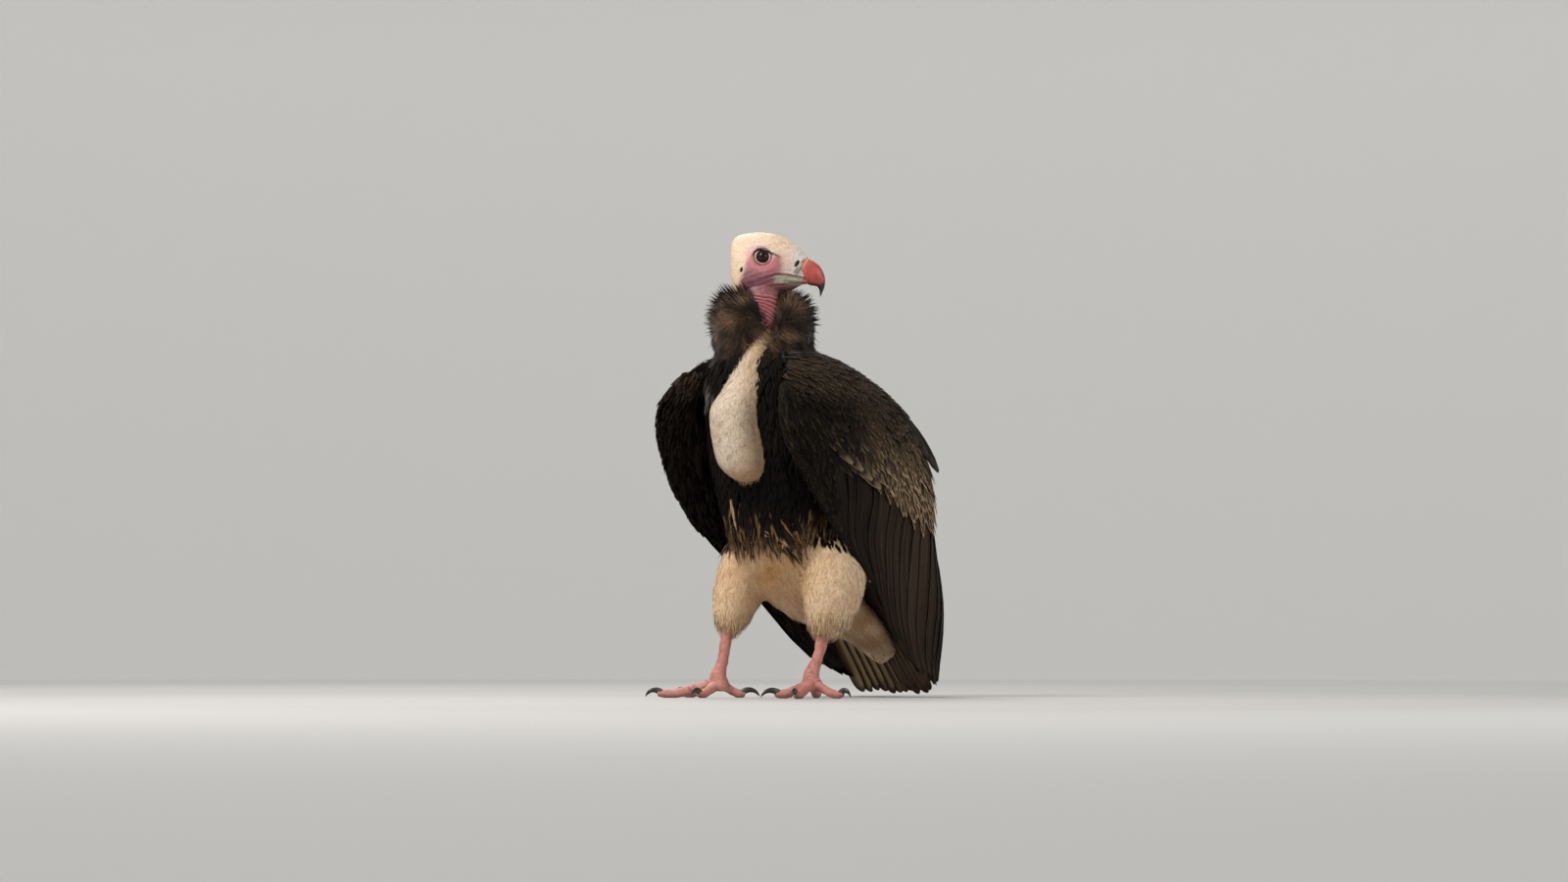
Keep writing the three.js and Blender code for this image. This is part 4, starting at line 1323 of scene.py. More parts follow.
def build_belly_down():
    flock = Flock.strewn(plumage, 2.65, lambda p: pale_body(p) > 0.3, 111, 5)
    size = flock.random(0.75, 1.3)
    end = ramp(flock.roots[:, 1], 190, 260)
    lift = (2.2 + 5 * end) * flock.random() ** (5 - 2 * end) - 1.05
    flock.lay(belly_flow, (12 + 5 * end) * size, 3, 1.8, lift, spread=0.4)
    flock.vanes(0.72 * size, [0.8, 1.0, 0.1], 3, 0.1, 0.16, 0.2, 0.12, soft=0.97)
    flock.tint(marking(flock.roots), 0.035, 0.96, 1.0)
    hem = Flock.strewn(plumage, 3.6, thigh_end, 113)
    hem.lay(downward, hem.random(12, 22), 4, 1.5, hem.random(0.0, 3.0), free=0.4)
    hem.vanes(hem.random(0.8, 1.6), SPIKE, 3, 0.1, 0.35, 0.2, 0.3, soft=0.7)
    hem.tint(blend(marking(hem.roots), np.append(shade(222, 196, 160), 0), 0.5), 0.08, 0.8, 1.0)
    coat_piece("belly_down", [flock, hem], DOWN)


# ---- dark breast and its pale fringe


def near_wing(points):
    """1 where the body's surface belongs to a wing."""
    found = np.zeros(len(points))
    for tree in wing_trees.values():
        found = np.maximum(found, [tree.find_nearest(p, 3.0)[0] is not None for p in points.tolist()])
    return found


def dark_body(points):
    z = points[:, 2]
    away = 1 - ramp(belly_share(points), 0.4, 0.6)
    return away * (z < 522) * (z > 200) * (1 - near_wing(points))


def build_breast():
    def front(points):
        return dark_body(points) * (points[:, 1] < 90) * (np.abs(points[:, 0]) < 125)

    chest = Surface(*fused([node_solid(name, 1.0) for name in FLESH if name != "crop"], 5.0, 9))
    flock = Flock.strewn(chest, 5.6, front, 121)
    size = flock.random(0.85, 1.2)
    flock.lay(downward, 30 * size, 6, 4.5, 0.8 + 1.0 * flock.random(), spread=0.2)
    flock.vanes(3.9 * size, LANCE, 3, 0.25, 0.4, 0.3, 0.15)
    spot = bell(flock.roots @ CROP_ACROSS, -75, 7) * bell(flock.roots[:, 2], 466, 13)
    tone = layered((9, 6, 4), flock.count, [
        ((20, 14, 11), ramp(waves(flock.roots, 35, 123), 0.1, 1)),
        ((150, 144, 136), spot * flock.random(0.3, 0.9))])
    flock.tint(paint(tone, 0.07), 0.15, 0.8, 1.0)
    coat_piece("breast_feathers", [flock], DARK_VANE)


def build_fringe():
    """Pointed feathers that end the dark breast over the pale belly, streaked and edged with buff."""
    def tips_end(p):
        return np.interp(p @ CROP_ACROSS, [-90, -50, 0, 35, 62, 95], [234, 226, 222, 206, 228, 246])

    def band(p):
        above = p[:, 2] - tips_end(p)
        front = (p[:, 1] < 150) * (np.abs(p[:, 0]) < 104)
        return (above > 24) * (above < 66) * front * (1 - near_wing(p))

    def lean(p, n):
        return -UP + CROP_ACROSS * (0.75 * bell(p @ CROP_ACROSS, 42, 26) - 0.1)[:, None]

    made = []
    for spacing, length, half, buff, seed in ((6.6, 46, 3.2, 0.12, 132), (10.0, 52, 3.0, 0.9, 136)):
        flock = Flock.strewn(plumage, spacing, band, seed)
        size = flock.random(0.8, 1.2)
        flock.lay(lean, length * size, 7, 3.0, 1.5 + 2.5 * flock.random(), free=0.8, spread=0.16)
        flock.vanes(half * size, [0.35, 0.8, 1.0, 0.95, 0.8, 0.5, 0.08], 3, 0.3, 0.45, 0.2, 0.2)
        warm = (flock.random() < buff) * flock.random(0.5, 1.0)
        tone = layered((14, 10, 9), flock.count, [((150, 114, 78), 0.8 * warm)])
        low = ramp(66 - (flock.roots[:, 2] - tips_end(flock.roots)), 0, 30)
        flock.tint(tone, 0.15, 0.25, 1.0, np.maximum(warm, 0.5) * low)
        made.append(flock)
    fringe, streaks = made
    coat_piece("fringe_streaks", [streaks], BUFF_VANE)
    pale = Flock(plumage, np.array([[-24.0, -66.0, z] for z in (296, 284, 276, 268)]), 138)
    pale.lay(lean, 36.0, 7, 1.0, 2.5, spread=0.1)
    pale.vanes(3.4, LANCE, 3, 0.3, 0.45, 0.3, 0.2)
    pale.tint(shade(190, 156, 116), 0.08, 0.9, 1.0, 0.6)
    coat_piece("breast_fringe", [fringe, pale], FRINGE_VANE)


# ---- ruff


def throat_gap(points):
    """How far points lie outside the bare V of the throat; below 0 inside it."""
    across = points @ CROP_ACROSS
    z = points[:, 2]
    left = np.interp(z, [546, 566, 594, 604], [24, 11, -7, -12])
    right = np.interp(z, [546, 566, 594], [24, 29, 33])
    outside = np.maximum(left - across, across - right)
    return np.where((points @ CROP_OUTWARD > 5) & (z > 545), outside, 30.0)


def ruff_zone(points):
    x, y, z = points.T
    out = np.hypot(x, y - 14)
    stalk = ramp(crop_share(points), 0.35, 0.6) * (1 - ramp(z, 514, 534))
    return (z > 500) * (out < 96) * (throat_gap(points) > 0) * (1 - stalk)


THROAT_FOOT = CROP_ACROSS * 25 + CROP_OUTWARD * 55 + UP * 552


def ruff_flow(place, normal):
    """Away from the foot of the throat, then up and over the ruff's rim, with slow whorls."""
    away = unit(place - THROAT_FOOT)
    rise = ramp(place[:, 2], 570, 604)
    lower = ramp(545 - place[:, 2], 0, 25)
    along = away * (1 - rise - 0.8 * lower)[:, None] + UP * (0.9 * rise - 1.1 * lower)[:, None]
    return turned(unit(along), normal, 0.9 * waves(place, 30, 141) * (1 - rise))


def ruff_lean(place, normal):
    x, y, z = place.T
    outward = unit(np.stack([x, y - 14, 0 * x], -1))
    rise = ramp(z, 550, 602)[:, None]
    return unit(ruff_flow(place, normal)) * 0.8 + outward * (0.45 + 0.35 * rise) + UP * (0.3 * rise)


# Soft tan patches of the ruff: middle across, height, half sizes and strength.
RUFF_PATCHES = [(-38, 557, 17, 11, 1.0), (-16, 586, 12, 11, 0.8), (-52, 585, 10, 12, 0.5),
                (44, 535, 16, 9, 1.0), (58, 572, 13, 16, 0.6), (-40, 528, 22, 12, 0.35),
                (18, 528, 12, 12, 1.2)]


def ruff_tone(points):
    """Blackish brown with soft tan patches beside the throat and where the whorls part."""
    across, z = points @ CROP_ACROSS, points[:, 2]
    patch = waves(points, 13, 149)
    front = ramp(points @ CROP_OUTWARD, 0, 30)
    tan = ramp(waves(points, 20, 144), 0.25, 1.0) * 0.55
    for middle, height, wide, tall, much in RUFF_PATCHES:
        tan = np.maximum(tan, much * bell(across, middle, wide) * bell(z, height, tall) * front)
    return paint(layered((24, 17, 13), len(points), [
        ((58, 43, 33), ramp(patch, -0.2, 0.8)),
        ((138, 108, 82), 0.9 * np.clip(tan * (1 + 0.4 * patch), 0, 1))]), 0.15)


def build_ruff():
    for name, low, high, lift, seed in (("ruff_down_lower", 0, 553, 3.2, 145),
                                        ("ruff_down_upper", 553, 900, 5.0, 147)):
        base = Flock.strewn(plumage, 1.52, lambda p: ruff_zone(p) * within(p, low, high), seed, 5)
        size = base.random(0.7, 1.3)
        base.lay(ruff_flow, 14 * size, 4, 4.0, 1.0 + lift * base.random() ** 2, spread=0.2, rise=1.4)
        base.vanes(0.5 * size, SPIKE, 3, 0.1, 0.22, 0.2, 0.3, soft=0.85)
        base.tint(ruff_tone(base.roots), 0.09, 0.55, 1.15)
        coat_piece(name, [base], RUFF_DOWN)
    spikes = Flock.strewn(plumage, 4.0, lambda p: ruff_zone(p) * ramp(p[:, 2], 530, 575), 142)
    size = spikes.random(0.8, 1.25)
    rise = ramp(spikes.roots[:, 2], 560, 604)
    short = 1 - 0.5 * bell(spikes.roots @ CROP_ACROSS, 42, 24) * rise
    spikes.stand(ruff_lean, (16.5 + 6 * rise) * short * size, 5, 5.0, 0.04)
    spikes.vanes(1.15 * size, SPIKE, 3, 0.2, 0.5, 0.15, 0.5)
    spikes.tint(ruff_tone(spikes.roots), 0.2, 1.0, 0.35)
    coat_piece("ruff_feathers", [spikes], DARK_VANE)


# ---- wings

# Level sections of a folded wing: height, then x and y of four places from its leading edge to its inner end.
WING = [
    (512, 58, -8, 68, 20, 62, 56, 40, 80), (498, 86, -38, 99, 20, 84, 90, 38, 116),
    (474, 110, -64, 124, 20, 104, 130, 30, 152), (442, 123, -82, 141, 32, 120, 180, 26, 200),
    (400, 127, -86, 148, 62, 133, 216, 24, 236), (345, 125, -72, 150, 84, 138, 238, 24, 252),
    (298, 123, -48, 149, 106, 137, 248, 26, 260), (248, 118, -6, 142, 124, 132, 258, 30, 268),
    (192, 112, 72, 128, 160, 124, 280, 38, 290), (132, 100, 128, 113, 200, 112, 304, 44, 308),
    (78, 86, 182, 96, 246, 96, 317, 48, 320), (42, 72, 238, 80, 286, 77, 333, 48, 336),
    (14, 54, 326, 57, 344, 54, 359, 44, 359),
]
WING_HEIGHTS = np.array([row[0] for row in WING], float)
SWEPT_BACK = {"left": 42, "right": 5}


def wing_point(side, t, u):
    """A place on a folded wing's outside: t from shoulder to tip, u from leading edge to inner end."""
    row = station(WING, t)
    z = row[:, 0]
    swept = SWEPT_BACK[side] * ramp(420 - z, 0, 170) * ramp(z, 0, 60)
    plan = row[:, 1:].reshape(-1, 4, 2).copy()
    plan[:, 0, 1] += swept
    plan[:, 1, 1] += swept / 2
    plan[:, :, 0] *= SIDES[side]
    corner = np.clip(np.asarray(u, float) * 3, 0, 2.9999)
    i = np.floor(corner).astype(int)
    rows = np.arange(len(z))
    corners = (plan[rows, np.clip(i + k, 0, 3)] for k in (-1, 0, 1, 2))
    return np.column_stack([between(*corners, (corner - i)[:, None]), z])


def wing_share(z):
    """The share of the way from shoulder to tip where a wing has this height."""
    return np.interp(-z, -WING_HEIGHTS, np.linspace(0, 1, len(WING)))


def wing_edge(z, column):
    """How far back an edge of the folded wings lies at a height; the column of WING picks the edge."""
    rows = np.array(WING, float)[::-1]
    return np.interp(z, rows[:, 0], rows[:, column])


def leading_edge(side, z):
    return wing_edge(z, 2) + SWEPT_BACK[side] * ramp(420 - z, 0, 170)


def rear_edge(z):
    return wing_edge(z, 8)


def covert_line(y, behind=500.0):
    """The height at which the greater coverts end; it falls to the back and along the leading edge."""
    line = np.interp(y, [-90, 20, 56, 140, 200, 245, 275], [345, 342, 338, 290, 256, 254, 262])
    return np.minimum(line, 232 + 1.3 * behind)


def backward(side, normal):
    return np.cross(UP, normal) * SIDES[side]


def covert_flow(side):
    def flow(place, normal):
        lean = 0.1 + 0.75 * ramp(place[:, 2], 300, 480) * (1 - 0.6 * ramp(place[:, 1], 60, 200))
        behind = place[:, 1] - leading_edge(side, place[:, 2])
        slope = SWEPT_BACK[side] / 48 * (1 - ramp(behind, 5, 80)) * ramp(430 - place[:, 2], 0, 70)
        return -UP + backward(side, normal) * np.maximum(lean, slope)[:, None]
    return flow


def wing_tone(points, side):
    """Black lower front, brown shoulder and back; the fourth value is the share of pale edge."""
    _, y, z = points.T
    dark = np.maximum((1 - ramp(y, 35, 105)) * (1 - ramp(z, 415, 455)),
                      ramp(-y, 46, 66) * (1 - ramp(z, 432, 462)))
    patch = waves(points, 26, 151)
    warm = ramp(y, 60, 190) * (1 - ramp(z + 16 * patch, 290, 450))
    colour = layered((50, 38, 29), len(points), [
        ((30, 22, 17), ramp(patch, -0.5, 0.7)),
        ((38, 28, 20), 0.7 * warm),
        ((7, 5, 4), dark)])
    pale = (0.26 + 0.74 * warm) * (1 - 0.8 * dark)
    # The right wing is painted towards one dark tone with fewer pale edges than the left, as painted shade.
    if side == "right":
        return paint(blend(colour, shade(24, 18, 15), 0.65), pale * 0.6)
    return paint(colour, pale)


def level_way(points):
    """The level way out from the body's axis."""
    return unit((points - BODY_AXIS) * [1, 1, 0])


def outer_wing(side, above, below):
    """The zone of a wing's outside between two distances over the covert line."""
    surface = wing_surfaces[side]

    def zone(points):
        x, y, z = points.T
        over = z - covert_line(y, y - leading_edge(side, z))
        _, normals = surface.snap(points)
        outside = np.einsum("ij,ij->i", normals, level_way(points)) > 0.15
        front = (y < 40) * (normals[:, 1] < -0.1) * (np.abs(x) > 68)
        top = (z > 430) * (normals[:, 2] > 0.1)
        return (over > below) * (over <= above) * (outside | front | top)
    return zone


def build_coverts(side):
    surface = wing_surfaces[side]
    flocks = []
    for spacing, length, half, lift, above, below, seed, columns in (
            (9.6, 52, 6.0, 2.4, 112, 34, 161, 5), (5.6, 30, 3.9, 3.2, 400, 84, 162, 3)):
        flock = Flock(surface, surface.scatter(spacing, outer_wing(side, above, below), seed), seed + 10)
        size = flock.random(0.88, 1.14)
        flock.lay(covert_flow(side), length * size, 7, 5.5, lift + 1.2 * flock.random(), spread=0.09)
        flock.vanes(half * size, LANCE, columns, 0.22, 0.45, 0.14, 0.1, soft=0.4)
        flock.tint(wing_tone(flock.lines[:, -1], side) * [1, 1, 1, 0.7], 0.12, 0.7, 1.05)
        flocks.append(flock)
    coat_piece(f"wing_coverts_{side}", flocks, COVERT_VANE)


def trace_rows(side, t0, u0, t1, u1, rows):
    """Centrelines on a wing's outside from (t0, u0) to (t1, u1)."""
    share = np.linspace(0, 1, rows)
    t = t0[:, None] + (t1 - t0)[:, None] * share
    u = u0[:, None] + (u1 - u0)[:, None] * share**1.3
    return wing_point(side, t.ravel(), u.ravel()).reshape(len(t0), rows, 3)


def row_flock(side, lines, height, seed):
    """A flock from given centrelines, raised over the wing's surface by height at each station."""
    surface = wing_surfaces[side]
    count, rows = lines.shape[:2]
    flock = Flock(surface, lines[:, 0], seed)
    _, ways = surface.snap(lines.reshape(-1, 3))
    flock.ways = unit(ways.reshape(count, rows, 3) + 0.6 * level_way(lines))
    flock.lines = lines + flock.ways * height[..., None]
    flock.rows = rows
    return flock


def build_greater_coverts(side):
    """Four rows of pointed coverts over the flight feathers' roots, and broad dark ones at two steps."""
    flocks = []
    share = np.linspace(0, 1, 9)
    for count, drop, lift, half, seed in ((40, 0, 2.2, 6.8, 171), (42, 18, 3.0, 6.6, 172),
                                          (44, 36, 3.6, 6.3, 173), (46, 54, 4.2, 6.0, 174)):
        rng = np.random.default_rng(seed)
        u = np.linspace(0.02, 0.98, count) + rng.normal(0, 0.004, count)
        tip_y = wing_point(side, np.full(count, 0.5), u)[:, 1]
        end = covert_line(tip_y) + drop + rng.normal(0, 8.0, count)
        start = end + 74 + rng.uniform(-6, 6, count)
        lines = trace_rows(side, wing_share(start), np.clip(u - 0.035, 0, 1), wing_share(end), u, 9)
        height = (-6.0 * (1 - share) ** 0.8 + lift * share**2)[None] + rng.normal(0, 0.4, (count, 1))
        flock = row_flock(side, lines, height, seed + 5)
        flock.vanes(half * flock.random(0.8, 1.2), [0.4, 0.8, 1, 1, 0.97, 0.82, 0.55, 0.05], 5, 0.2, 0.6, 0.1,
                    0.16, soft=0.3)
        tone = wing_tone(flock.lines[:, -1], side)
        flock.tint(tone, 0.2, 0.6, 1.0, np.clip(tone[:, 3] * 1.5, 0, 1) * flock.random(0.6, 1.0))
        flocks.append(flock)
    for ends, us, reach, half, pale, seed in (
            ([408, 390, 374, 360, 348, 339], [0.47, 0.51, 0.55, 0.585, 0.615, 0.645], 96, 12.5, 0.08, 178),
            ([343, 334, 321, 308], [0.235, 0.262, 0.282, 0.30], 84, 8.0, 0.3, 179)):
        end, u, order = np.array(ends, float), np.array(us), np.arange(len(ends))
        lines = trace_rows(side, wing_share(end + reach), u - 0.08, wing_share(end), u, 9)
        lines[..., 1] += (9 * share**2 * (u[:, None] > 0.4)) * (order / 5)[:, None]
        broad = row_flock(side, lines, np.outer(1 + 0.1 * order, -3.0 * (1 - share) + 4.0 * share), seed)
        broad.ways = unit(broad.ways + 0.6 * np.array([SIDES[side], -0.35, 0.15]))
        broad.vanes(half, BROAD + [0.97, 0.85, 0.35], 5, 0.15, 0.7, 0.05, 0.06, soft=0.3)
        broad.tint(shade(14, 10, 8), 0.15, 0.8, 1.0, pale)
        flocks.append(broad)
    coat_piece(f"greater_coverts_{side}", flocks, COVERT_VANE)


def build_flight(side):
    """Secondaries that end in steps down the lower front edge, over long blackish primaries."""
    count, rows = 21, 18
    j = np.linspace(0, 1, count)
    rng = np.random.default_rng(181)
    u0 = 0.03 + 0.93 * j + rng.normal(0, 0.013, count)
    t1 = np.interp(j, [0, 0.15, 0.4, 0.6, 1.0], [0.585, 0.70, 0.86, 0.93, 0.965])
    t1 = t1 + rng.normal(0, 0.004, count)
    u1 = np.interp(j, [0, 0.35, 0.6, 1.0], [0.012, 0.03, 0.22, 0.93])
    lines = trace_rows(side, 0.33 + 0.10 * j, u0, t1, u1, rows)
    outer = row_flock(side, lines, np.zeros((count, rows)), 182)
    outer.vanes(16 + 4 * outer.random(), BROAD + [0.98, 0.9, 0.7, 0.25], 7, 0.0, 0.6, 0.04, 0.0,
                offset=0.2 * SIDES[side], soft=0.5)
    outer.press([-5.0, -2.6, -1.2, 0.2, 0.4, 0.4], 0.5 * j + rng.normal(0, 0.1, count), 1.3 * SIDES[side])
    behind = ramp(j, 0.1, 0.5)
    tone = layered((22, 16, 12), count, [((62, 47, 36), rng.random(count) ** 1.5 * ramp(j, 0.25, 0.55)),
                                         ((14, 11, 10), 1 - behind)])
    # The right wing's flight feathers are painted darker than the left's, as painted shade.
    if side == "right":
        tone = tone * 0.75
    outer.tint(paint(tone, 0.42 * (0.25 + 0.75 * behind)), 0.12, 0.85, 0.65)
    count = 9
    j = np.linspace(0, 1, count)
    t1 = np.interp(j, [0, 0.5, 1], [0.80, 0.93, 1.0])
    lines = trace_rows(side, 0.42 + 0 * j, 0.03 + 0.25 * j, t1, 0.02 + 0.5 * j**2, rows)
    inner = row_flock(side, lines, np.zeros((count, rows)), 184)
    inner.vanes(15, [0.4, 0.8, 1, 1, 1, 1, 1, 0.95, 0.85, 0.7, 0.5, 0.2], 7, 0.0, 0.6, 0.04, 0.0,
                offset=0.25 * SIDES[side], soft=0.5)
    inner.press([-4.5, -3.4, -2.4, -1.8], 0.6 * j, 0.5 * SIDES[side], 0.4)
    inner.tint(shade(15, 12, 11), 0.1, 0.9, 1.0, 0.1)
    coat_piece(f"flight_feathers_{side}", [outer, inner], FLIGHT_VANE,
               (f"wing_{side}_flight",), patch=0.03)


UNDERWING_DEPTH = 4.2
UNDERWING_END = 44


def build_underwing(side):
    """The dark bases of the wing's feathers, a closed layer just under the vanes. It is thinner where the
    wing is thin and ends over the loose tips."""
    surface = wing_surfaces[side]
    depth = np.full(len(surface.points), UNDERWING_DEPTH)
    for i, (place, normal) in enumerate(zip(surface.points.tolist(), surface.normals.tolist())):
        inward = -Vector(normal)
        across = surface.tree.ray_cast(Vector(place) + inward * 0.1, inward, 12.0)[3]
        if across:
            depth[i] = min(depth[i], 0.45 * across)
    points = surface.points - surface.normals * depth[:, None]
    turn = np.arctan2(points[:, 0], 90 - points[:, 1])
    flat = np.stack([(turn + math.pi) / (2 * math.pi), points[:, 2] / 600], -1)
    piece = finish_mesh(f"underwing_{side}", points, surface.faces, RUFF_DOWN,
                        colours=paint(layered((13, 10, 9), len(points), []), 0.0),
                        maps={"OFBake": 0.02 + 0.94 * flat})
    bpy.ops.object.select_all(action="DESELECT")
    piece.select_set(True)
    bpy.context.view_layer.objects.active = piece
    bpy.ops.object.mode_set(mode="EDIT")
    bpy.ops.mesh.select_all(action="SELECT")
    bpy.ops.mesh.bisect(plane_co=to_frame(UP * UNDERWING_END).tolist(), plane_no=(0, 0, 1), use_fill=True,
                        clear_inner=True)
    bpy.ops.object.mode_set(mode="OBJECT")
    piece.select_set(False)


def build_lining(side):
    """Long narrow feathers on the wing's inner face."""
    surface = wing_surfaces[side]

    def zone(points):
        _, y, z = points.T
        _, normals = surface.snap(points)
        inward = np.einsum("ij,ij->i", normals, level_way(points)) < -0.1
        return inward * (z < 450) * (z > 105) * (y - leading_edge(side, z) > 12) * (rear_edge(z) - y > 26)

    def flow(place, normal):
        _, y, z = place.T
        front = leading_edge(side, z)
        share = np.clip((y - front) / (rear_edge(z) - front), 0, 1)
        slope = 0.1 + (1.1 - 1.1 * share) * ramp(310 - z, 0, 90)
        return -UP + np.array([0, 1.0, 0]) * slope[:, None]

    flock = Flock.strewn(surface, 10.5, zone, 187)
    inner = ramp(flock.roots[:, 1] - leading_edge(side, flock.roots[:, 2]), 15, 75)
    size = flock.random(0.85, 1.2) * (0.5 + 0.5 * inner)
    flock.lay(flow, 58 * size, 7, 3.0, 1.2 + 0.8 * flock.random(), free=0.75, spread=0.04)
    flock.vanes(7.5 * size, LANCE, 3, 0.12, 0.5, 0.08, 0.06, soft=0.4)
    tone = layered((15, 12, 10), flock.count, [((46, 36, 29), ramp(flock.roots[:, 1], 120, 230))])
    flock.tint(tone, 0.15, 0.7, 1.0, 0.3)
    coat_piece(f"wing_lining_{side}", [flock], DARK_VANE)


# ---- back, rump and tail


def build_mantle():
    def zone(points):
        x, y, z = points.T
        _, normals = plumage.snap(points)
        upper = (y > 40) * (normals[:, 2] > -0.2) * (np.abs(x) < 78) * (z > 385)
        shoulder = (z > 395) * (normals[:, 2] > 0.12) * (y > -20)
        back = (y > 95) * (np.abs(x) < 80) * (z > 120) * (1 - near_wing(points)) * (1 - belly_share(points))
        return np.maximum(upper | shoulder, back) * (z < 528)

    def flow(place, normal):
        x = place[:, 0]
        return np.stack([0.35 * np.sign(x) * ramp(np.abs(x), 10, 60), 1.0 + 0 * x, -0.7 + 0 * x], -1)

    flocks = []
    for spacing, length, half, low, high, seed in ((9.0, 36, 5.6, 430, 530, 191),
                                                   (13.0, 58, 8.5, 115, 430, 193)):
        flock = Flock.strewn(plumage, spacing, lambda p: zone(p) * within(p, low, high), seed)
        size = flock.random(0.85, 1.2)
        flock.lay(flow, length * size, 7, 5.0, 1.5 + 2.0 * flock.random(), spread=0.1)
        flock.vanes(half * size, ROUND, 5, 0.25, 0.5, 0.12, 0.1)
        tone = layered((22, 17, 15), flock.count, [
            ((58, 45, 35), 0.7 * ramp(waves(flock.roots, 40, 195), 0, 1))])
        flock.tint(tone, 0.15, 0.7, 1.05, 0.4)
        flocks.append(flock)
    coat_piece("mantle_feathers", flocks, DARK_VANE)


TAIL_ROOT = np.array([0, 176, 196.0])
TAIL_TIP = np.array([0, 342, 0.5])
TAIL_PROFILE = [0.35, 0.45, 0.55, 0.65, 0.75, 0.85, 0.92, 0.97, 1, 1, 1, 0.97, 0.88, 0.7, 0.42, 0.08]


def build_tail():
    """Twelve long feathers in a shallow fan, the middle pair on top, frayed where they meet the ground."""
    along = TAIL_TIP - TAIL_ROOT
    length = np.linalg.norm(along)
    along = along / length
    over = np.array([0, -along[2], along[1]])
    v = (np.arange(12) - 5.5) / 6.1
    rows = 16
    share = 1 - (1 - np.linspace(0, 1, rows)) ** 1.7
    reach = length - 16 * v**2 - np.random.default_rng(202).uniform(0, 11, 12)
    half = 60 + 16 * share
    height = (-12 * (v**2)[:, None] * (0.4 + 0.6 * share)[None]) - (np.abs(v) * 3.4)[:, None] + 2.0
    lines = (TAIL_ROOT + along * (share[None, :, None] * reach[:, None, None])
             + np.array([1.0, 0, 0]) * (v[:, None] * half[None])[..., None] + over * height[..., None])
    flock = Flock(Surface(*node_solid("tail", 0.0)), lines[:, 0], 201)
    flock.lines, flock.rows = lines, rows
    flock.ways = np.broadcast_to(over, lines.shape) + 0.0
    flock.vanes(13.5, TAIL_PROFILE, 7, 0.06, 0.8, 0.22, 0.02, soft=0.4)
    flock.points[:, 2] = np.maximum(flock.points[:, 2], 0.3)
    flock.tint(shade(44, 34, 28), 0.12, 0.85, 1.0, 0.8)
    # The undersides are painted paler than the tops; on the bird's right side one half of each vane is paler
    # still, partly paler inner vanes and partly painted light where light falls on that side of the tail.
    pale_and_lit_side = ramp(flock.vane[:, 0], 0.35, 0.65) * flock.each(ramp(-v, -0.6, 0.6))
    below = flock.under * (1 - ramp(flock.vane[:, 1] + 0.06 * waves(flock.points, 9, 203), 0.78, 0.9))
    for under_colour, amount in ((shade(92, 74, 58), 0.8 * below),
                                 (shade(196, 168, 130), 0.8 * below * pale_and_lit_side)):
        flock.colours[:, :3] = blend(flock.colours[:, :3], under_colour, amount)
    coat_piece("tail_feathers", [flock], FLIGHT_VANE, ("tail",), patch=0.06)


# ---- short down of the head


def build_crown_down():
    def zone(points):
        u, r, h = head_place(points)
        upper = np.maximum(ramp(h + 0.15 * u, -2, 12), ramp(0.37 * h - u, 17, 25))
        return upper * ramp(np.hypot(u, h) + 40 * (np.abs(r) < 14), 19, 24) * ramp(-u, -46, -34) * (h > -50)

    def flow(place, normal):
        u = head_place(place)[0]
        return -HEADING * (1 - 0.6 * ramp(-u, 20, 45))[:, None] - UP * (0.2 + 0.9 * ramp(-u, 25, 48))[:, None]

    flock = Flock.strewn(Surface(head_points, head_faces), 1.35, zone, 211, 6)
    size = flock.random(0.7, 1.3)
    near_face = ramp(head_place(flock.roots)[0], -20, 40)
    flock.lay(flow, (3.8 - 1.8 * near_face) * size, 3, 0.4, 0.05 + 0.3 * flock.random() ** 4, spread=0.3)
    flock.vanes(0.4 * size, [0.7, 1.0, 0.15], 3, 0.1, 0.1, 0.2, 0.2, soft=0.92)
    flock.tint(head_colours(flock.roots), 0.04, 0.95, 1.0)
    coat_piece("crown_down", [flock], DOWN)


DOWN = down_material("soft down", shade(222, 208, 190), 120.0)
RUFF_DOWN = down_material("ruff down", shade(190, 180, 172), 160.0)
DARK_VANE = plumage_material("dark vanes", shade(96, 74, 58), 0.55, 26.0, 0.5)
FRINGE_VANE = plumage_material("streaked vanes", shade(186, 148, 108), 0.9, 22.0, 0.4, 0.4)
BUFF_VANE = plumage_material("buff vanes", shade(16, 11, 9), 1.0, 22.0, 0.4, 0.5)
COVERT_VANE = plumage_material("covert vanes", shade(240, 206, 162), 1.0, 30.0, 0.5, 0.34)
FLIGHT_VANE = plumage_material("flight vanes", shade(108, 90, 72), 0.5, 60.0, 0.5, 0.8, 16.0)

wing_surfaces, wing_trees = {}, {}
for side in SIDES:
    wing = [node_solid(f"wing_{side}_{part}", 1.0) for part in ("arm", "flight")]
    wing_surfaces[side] = Surface(*fused(wing, 5.0, 10))
    wing_trees[side] = Surface(*node_solid(f"wing_{side}_arm", 0.5)).tree

build_crop_down()
build_belly_down()
build_breast()
build_fringe()
build_ruff()
for side in SIDES:
    build_coverts(side)
    build_greater_coverts(side)
    build_flight(side)
    build_underwing(side)
    build_lining(side)
build_mantle()
build_tail()
build_crown_down()

# ------------------------------------------------------------------ floor, light and camera


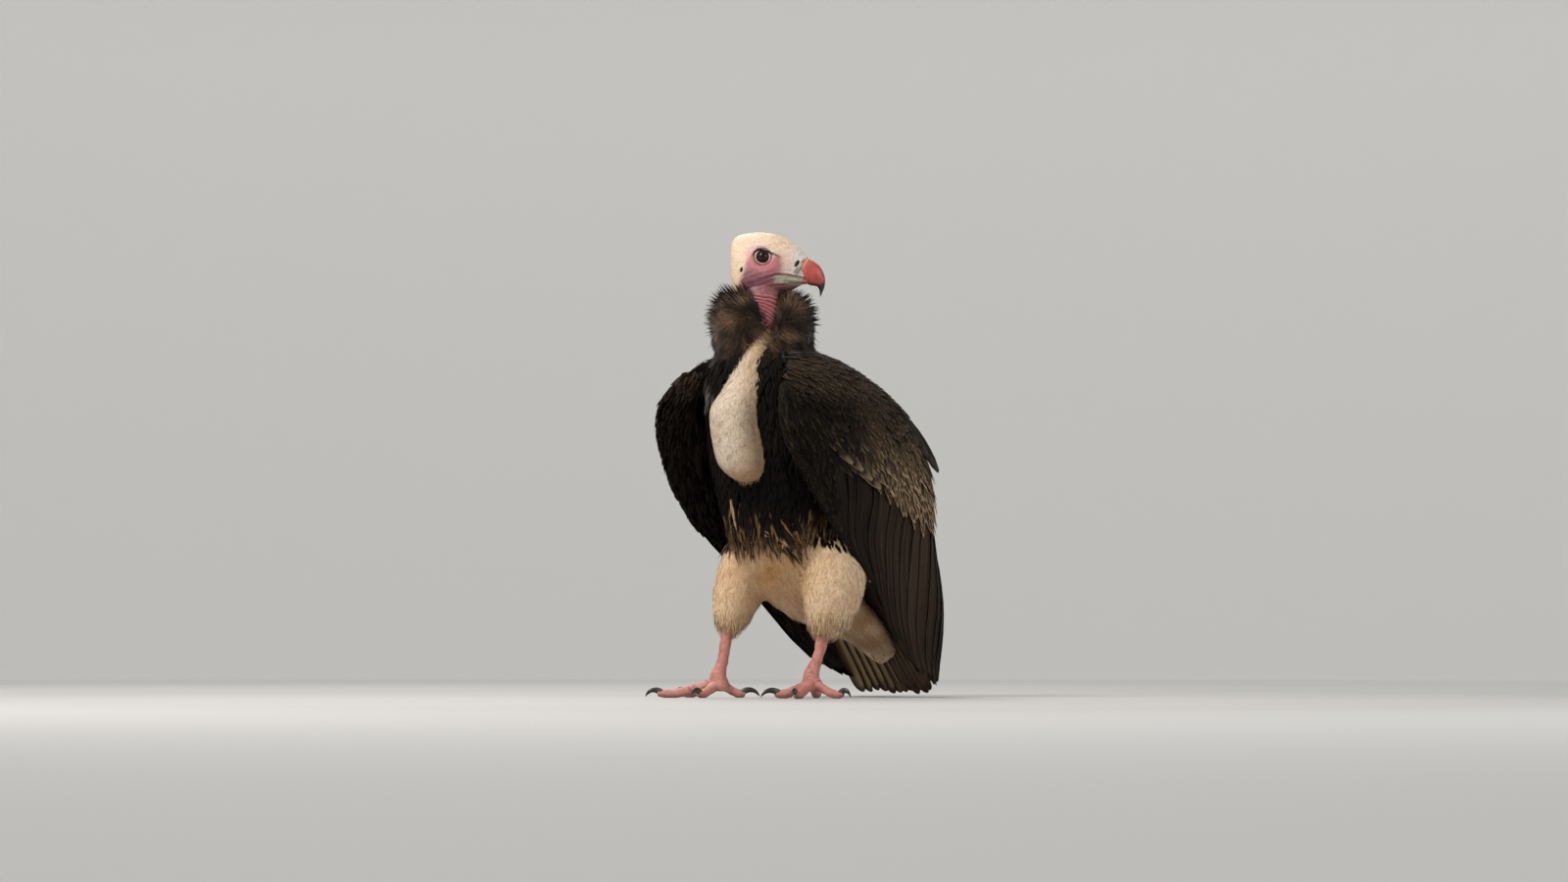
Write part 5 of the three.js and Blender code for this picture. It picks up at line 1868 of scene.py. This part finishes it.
def backdrop_material():
    """Plain and pale; a little deeper near the bird, where the light falls brightest."""
    material, nodes, shader = new_material("backdrop", 0.9)
    place = nodes.add("ShaderNodeTexCoord").outputs["Object"]
    flat = nodes.add("ShaderNodeVectorMath", {0: place, 1: (0.2, 0.2, 0.2)}, operation="MULTIPLY")
    away = nodes.add("ShaderNodeVectorMath", {0: flat.outputs[0]}, operation="LENGTH").outputs["Value"]
    tone = nodes.steps(away, [(0.25, tuple(shade(164, 162, 159))), (1.0, tuple(shade(226, 225, 222)))])
    nodes.put(shader.inputs["Base Color"], tone)
    # The backdrop also glows faintly in its own colour, which lights the bird softly from all round.
    nodes.put(shader.inputs["Emission Color"], tone)
    shader.inputs["Emission Strength"].default_value = 0.27
    return material


def build_stage():
    """A pale round floor that curves up into a wall all round the bird."""
    bend = np.linspace(0, math.pi / 2, 13)
    radius = np.concatenate([[1.0, 1500, 3500, 5200], 7000 + 2500 * np.sin(bend), [9500]])
    height = np.concatenate([[0, 0, 0, 0], 2500 * (1 - np.cos(bend)), [6500]])
    turn = circle(96)
    rings = np.stack([radius[:, None] * np.cos(turn), radius[:, None] * np.sin(turn),
                      height[:, None] + 0 * turn], -1)
    points, (wall, ends) = ring_solid(rings)
    floor = mesh_object("floor", points, [wall[:, ::-1], ends[:96, ::-1]])
    floor.data.materials.append(backdrop_material())


def round_view(turn, lift, distance):
    """The way from the bird, in degrees round from the camera's side and up, times the distance."""
    a, e = FRONT_LEFT + math.radians(turn), math.radians(lift)
    return distance * np.array([math.sin(a) * math.cos(e), -math.cos(a) * math.cos(e), math.sin(e)])


def facing(place, target):
    """What places an object of Blender's and turns it to a target."""
    return {"location": to_frame(place).tolist(),
            "rotation": Vector(target - place).to_track_quat("-Z", "Y").to_euler()}


def area_light(name, turn, lift, distance, size, power, colour=(1, 1, 1)):
    """A square soft light that faces the bird."""
    target = np.array([0, 60, 340.0])
    bpy.ops.object.light_add(type="AREA", **facing(target + round_view(turn, lift, distance), target))
    lamp = bpy.context.object
    lamp.name = name
    lamp.data.shape = "SQUARE"
    lamp.data.size = size
    lamp.data.energy = power
    lamp.data.color = colour


CAMERA_DISTANCE = 5200
CAMERA_HEIGHT = 60
CAMERA_AIM = np.array([0, 0, 345.0])
CAMERA_FOCAL = 80.8
# Moves the bird in the picture, as shares of its width.
CAMERA_SHIFT = (0.0175, 0.015)

build_stage()
area_light("key", turn=-48, lift=46, distance=2600, size=1.3, power=70, colour=(1.0, 0.97, 0.93))
area_light("fill", turn=52, lift=24, distance=2800, size=1.8, power=22, colour=(0.95, 0.97, 1.0))
area_light("top", turn=-160, lift=58, distance=2500, size=1.2, power=42)
world = bpy.data.worlds.new("studio")
world.use_nodes = True
sky = world.node_tree.nodes["Background"].inputs
sky["Color"].default_value = (0.93, 0.95, 1.0, 1)
sky["Strength"].default_value = 0.22
bpy.context.scene.world = world
bpy.context.scene.view_settings.view_transform = "Standard"

bpy.ops.object.camera_add(**facing(round_view(0, 0, CAMERA_DISTANCE) + UP * CAMERA_HEIGHT, CAMERA_AIM))
camera = bpy.context.object
camera.data.lens = CAMERA_FOCAL
camera.data.sensor_width = 36
camera.data.shift_x, camera.data.shift_y = CAMERA_SHIFT
camera.data.clip_end = 30
bpy.context.scene.camera = camera
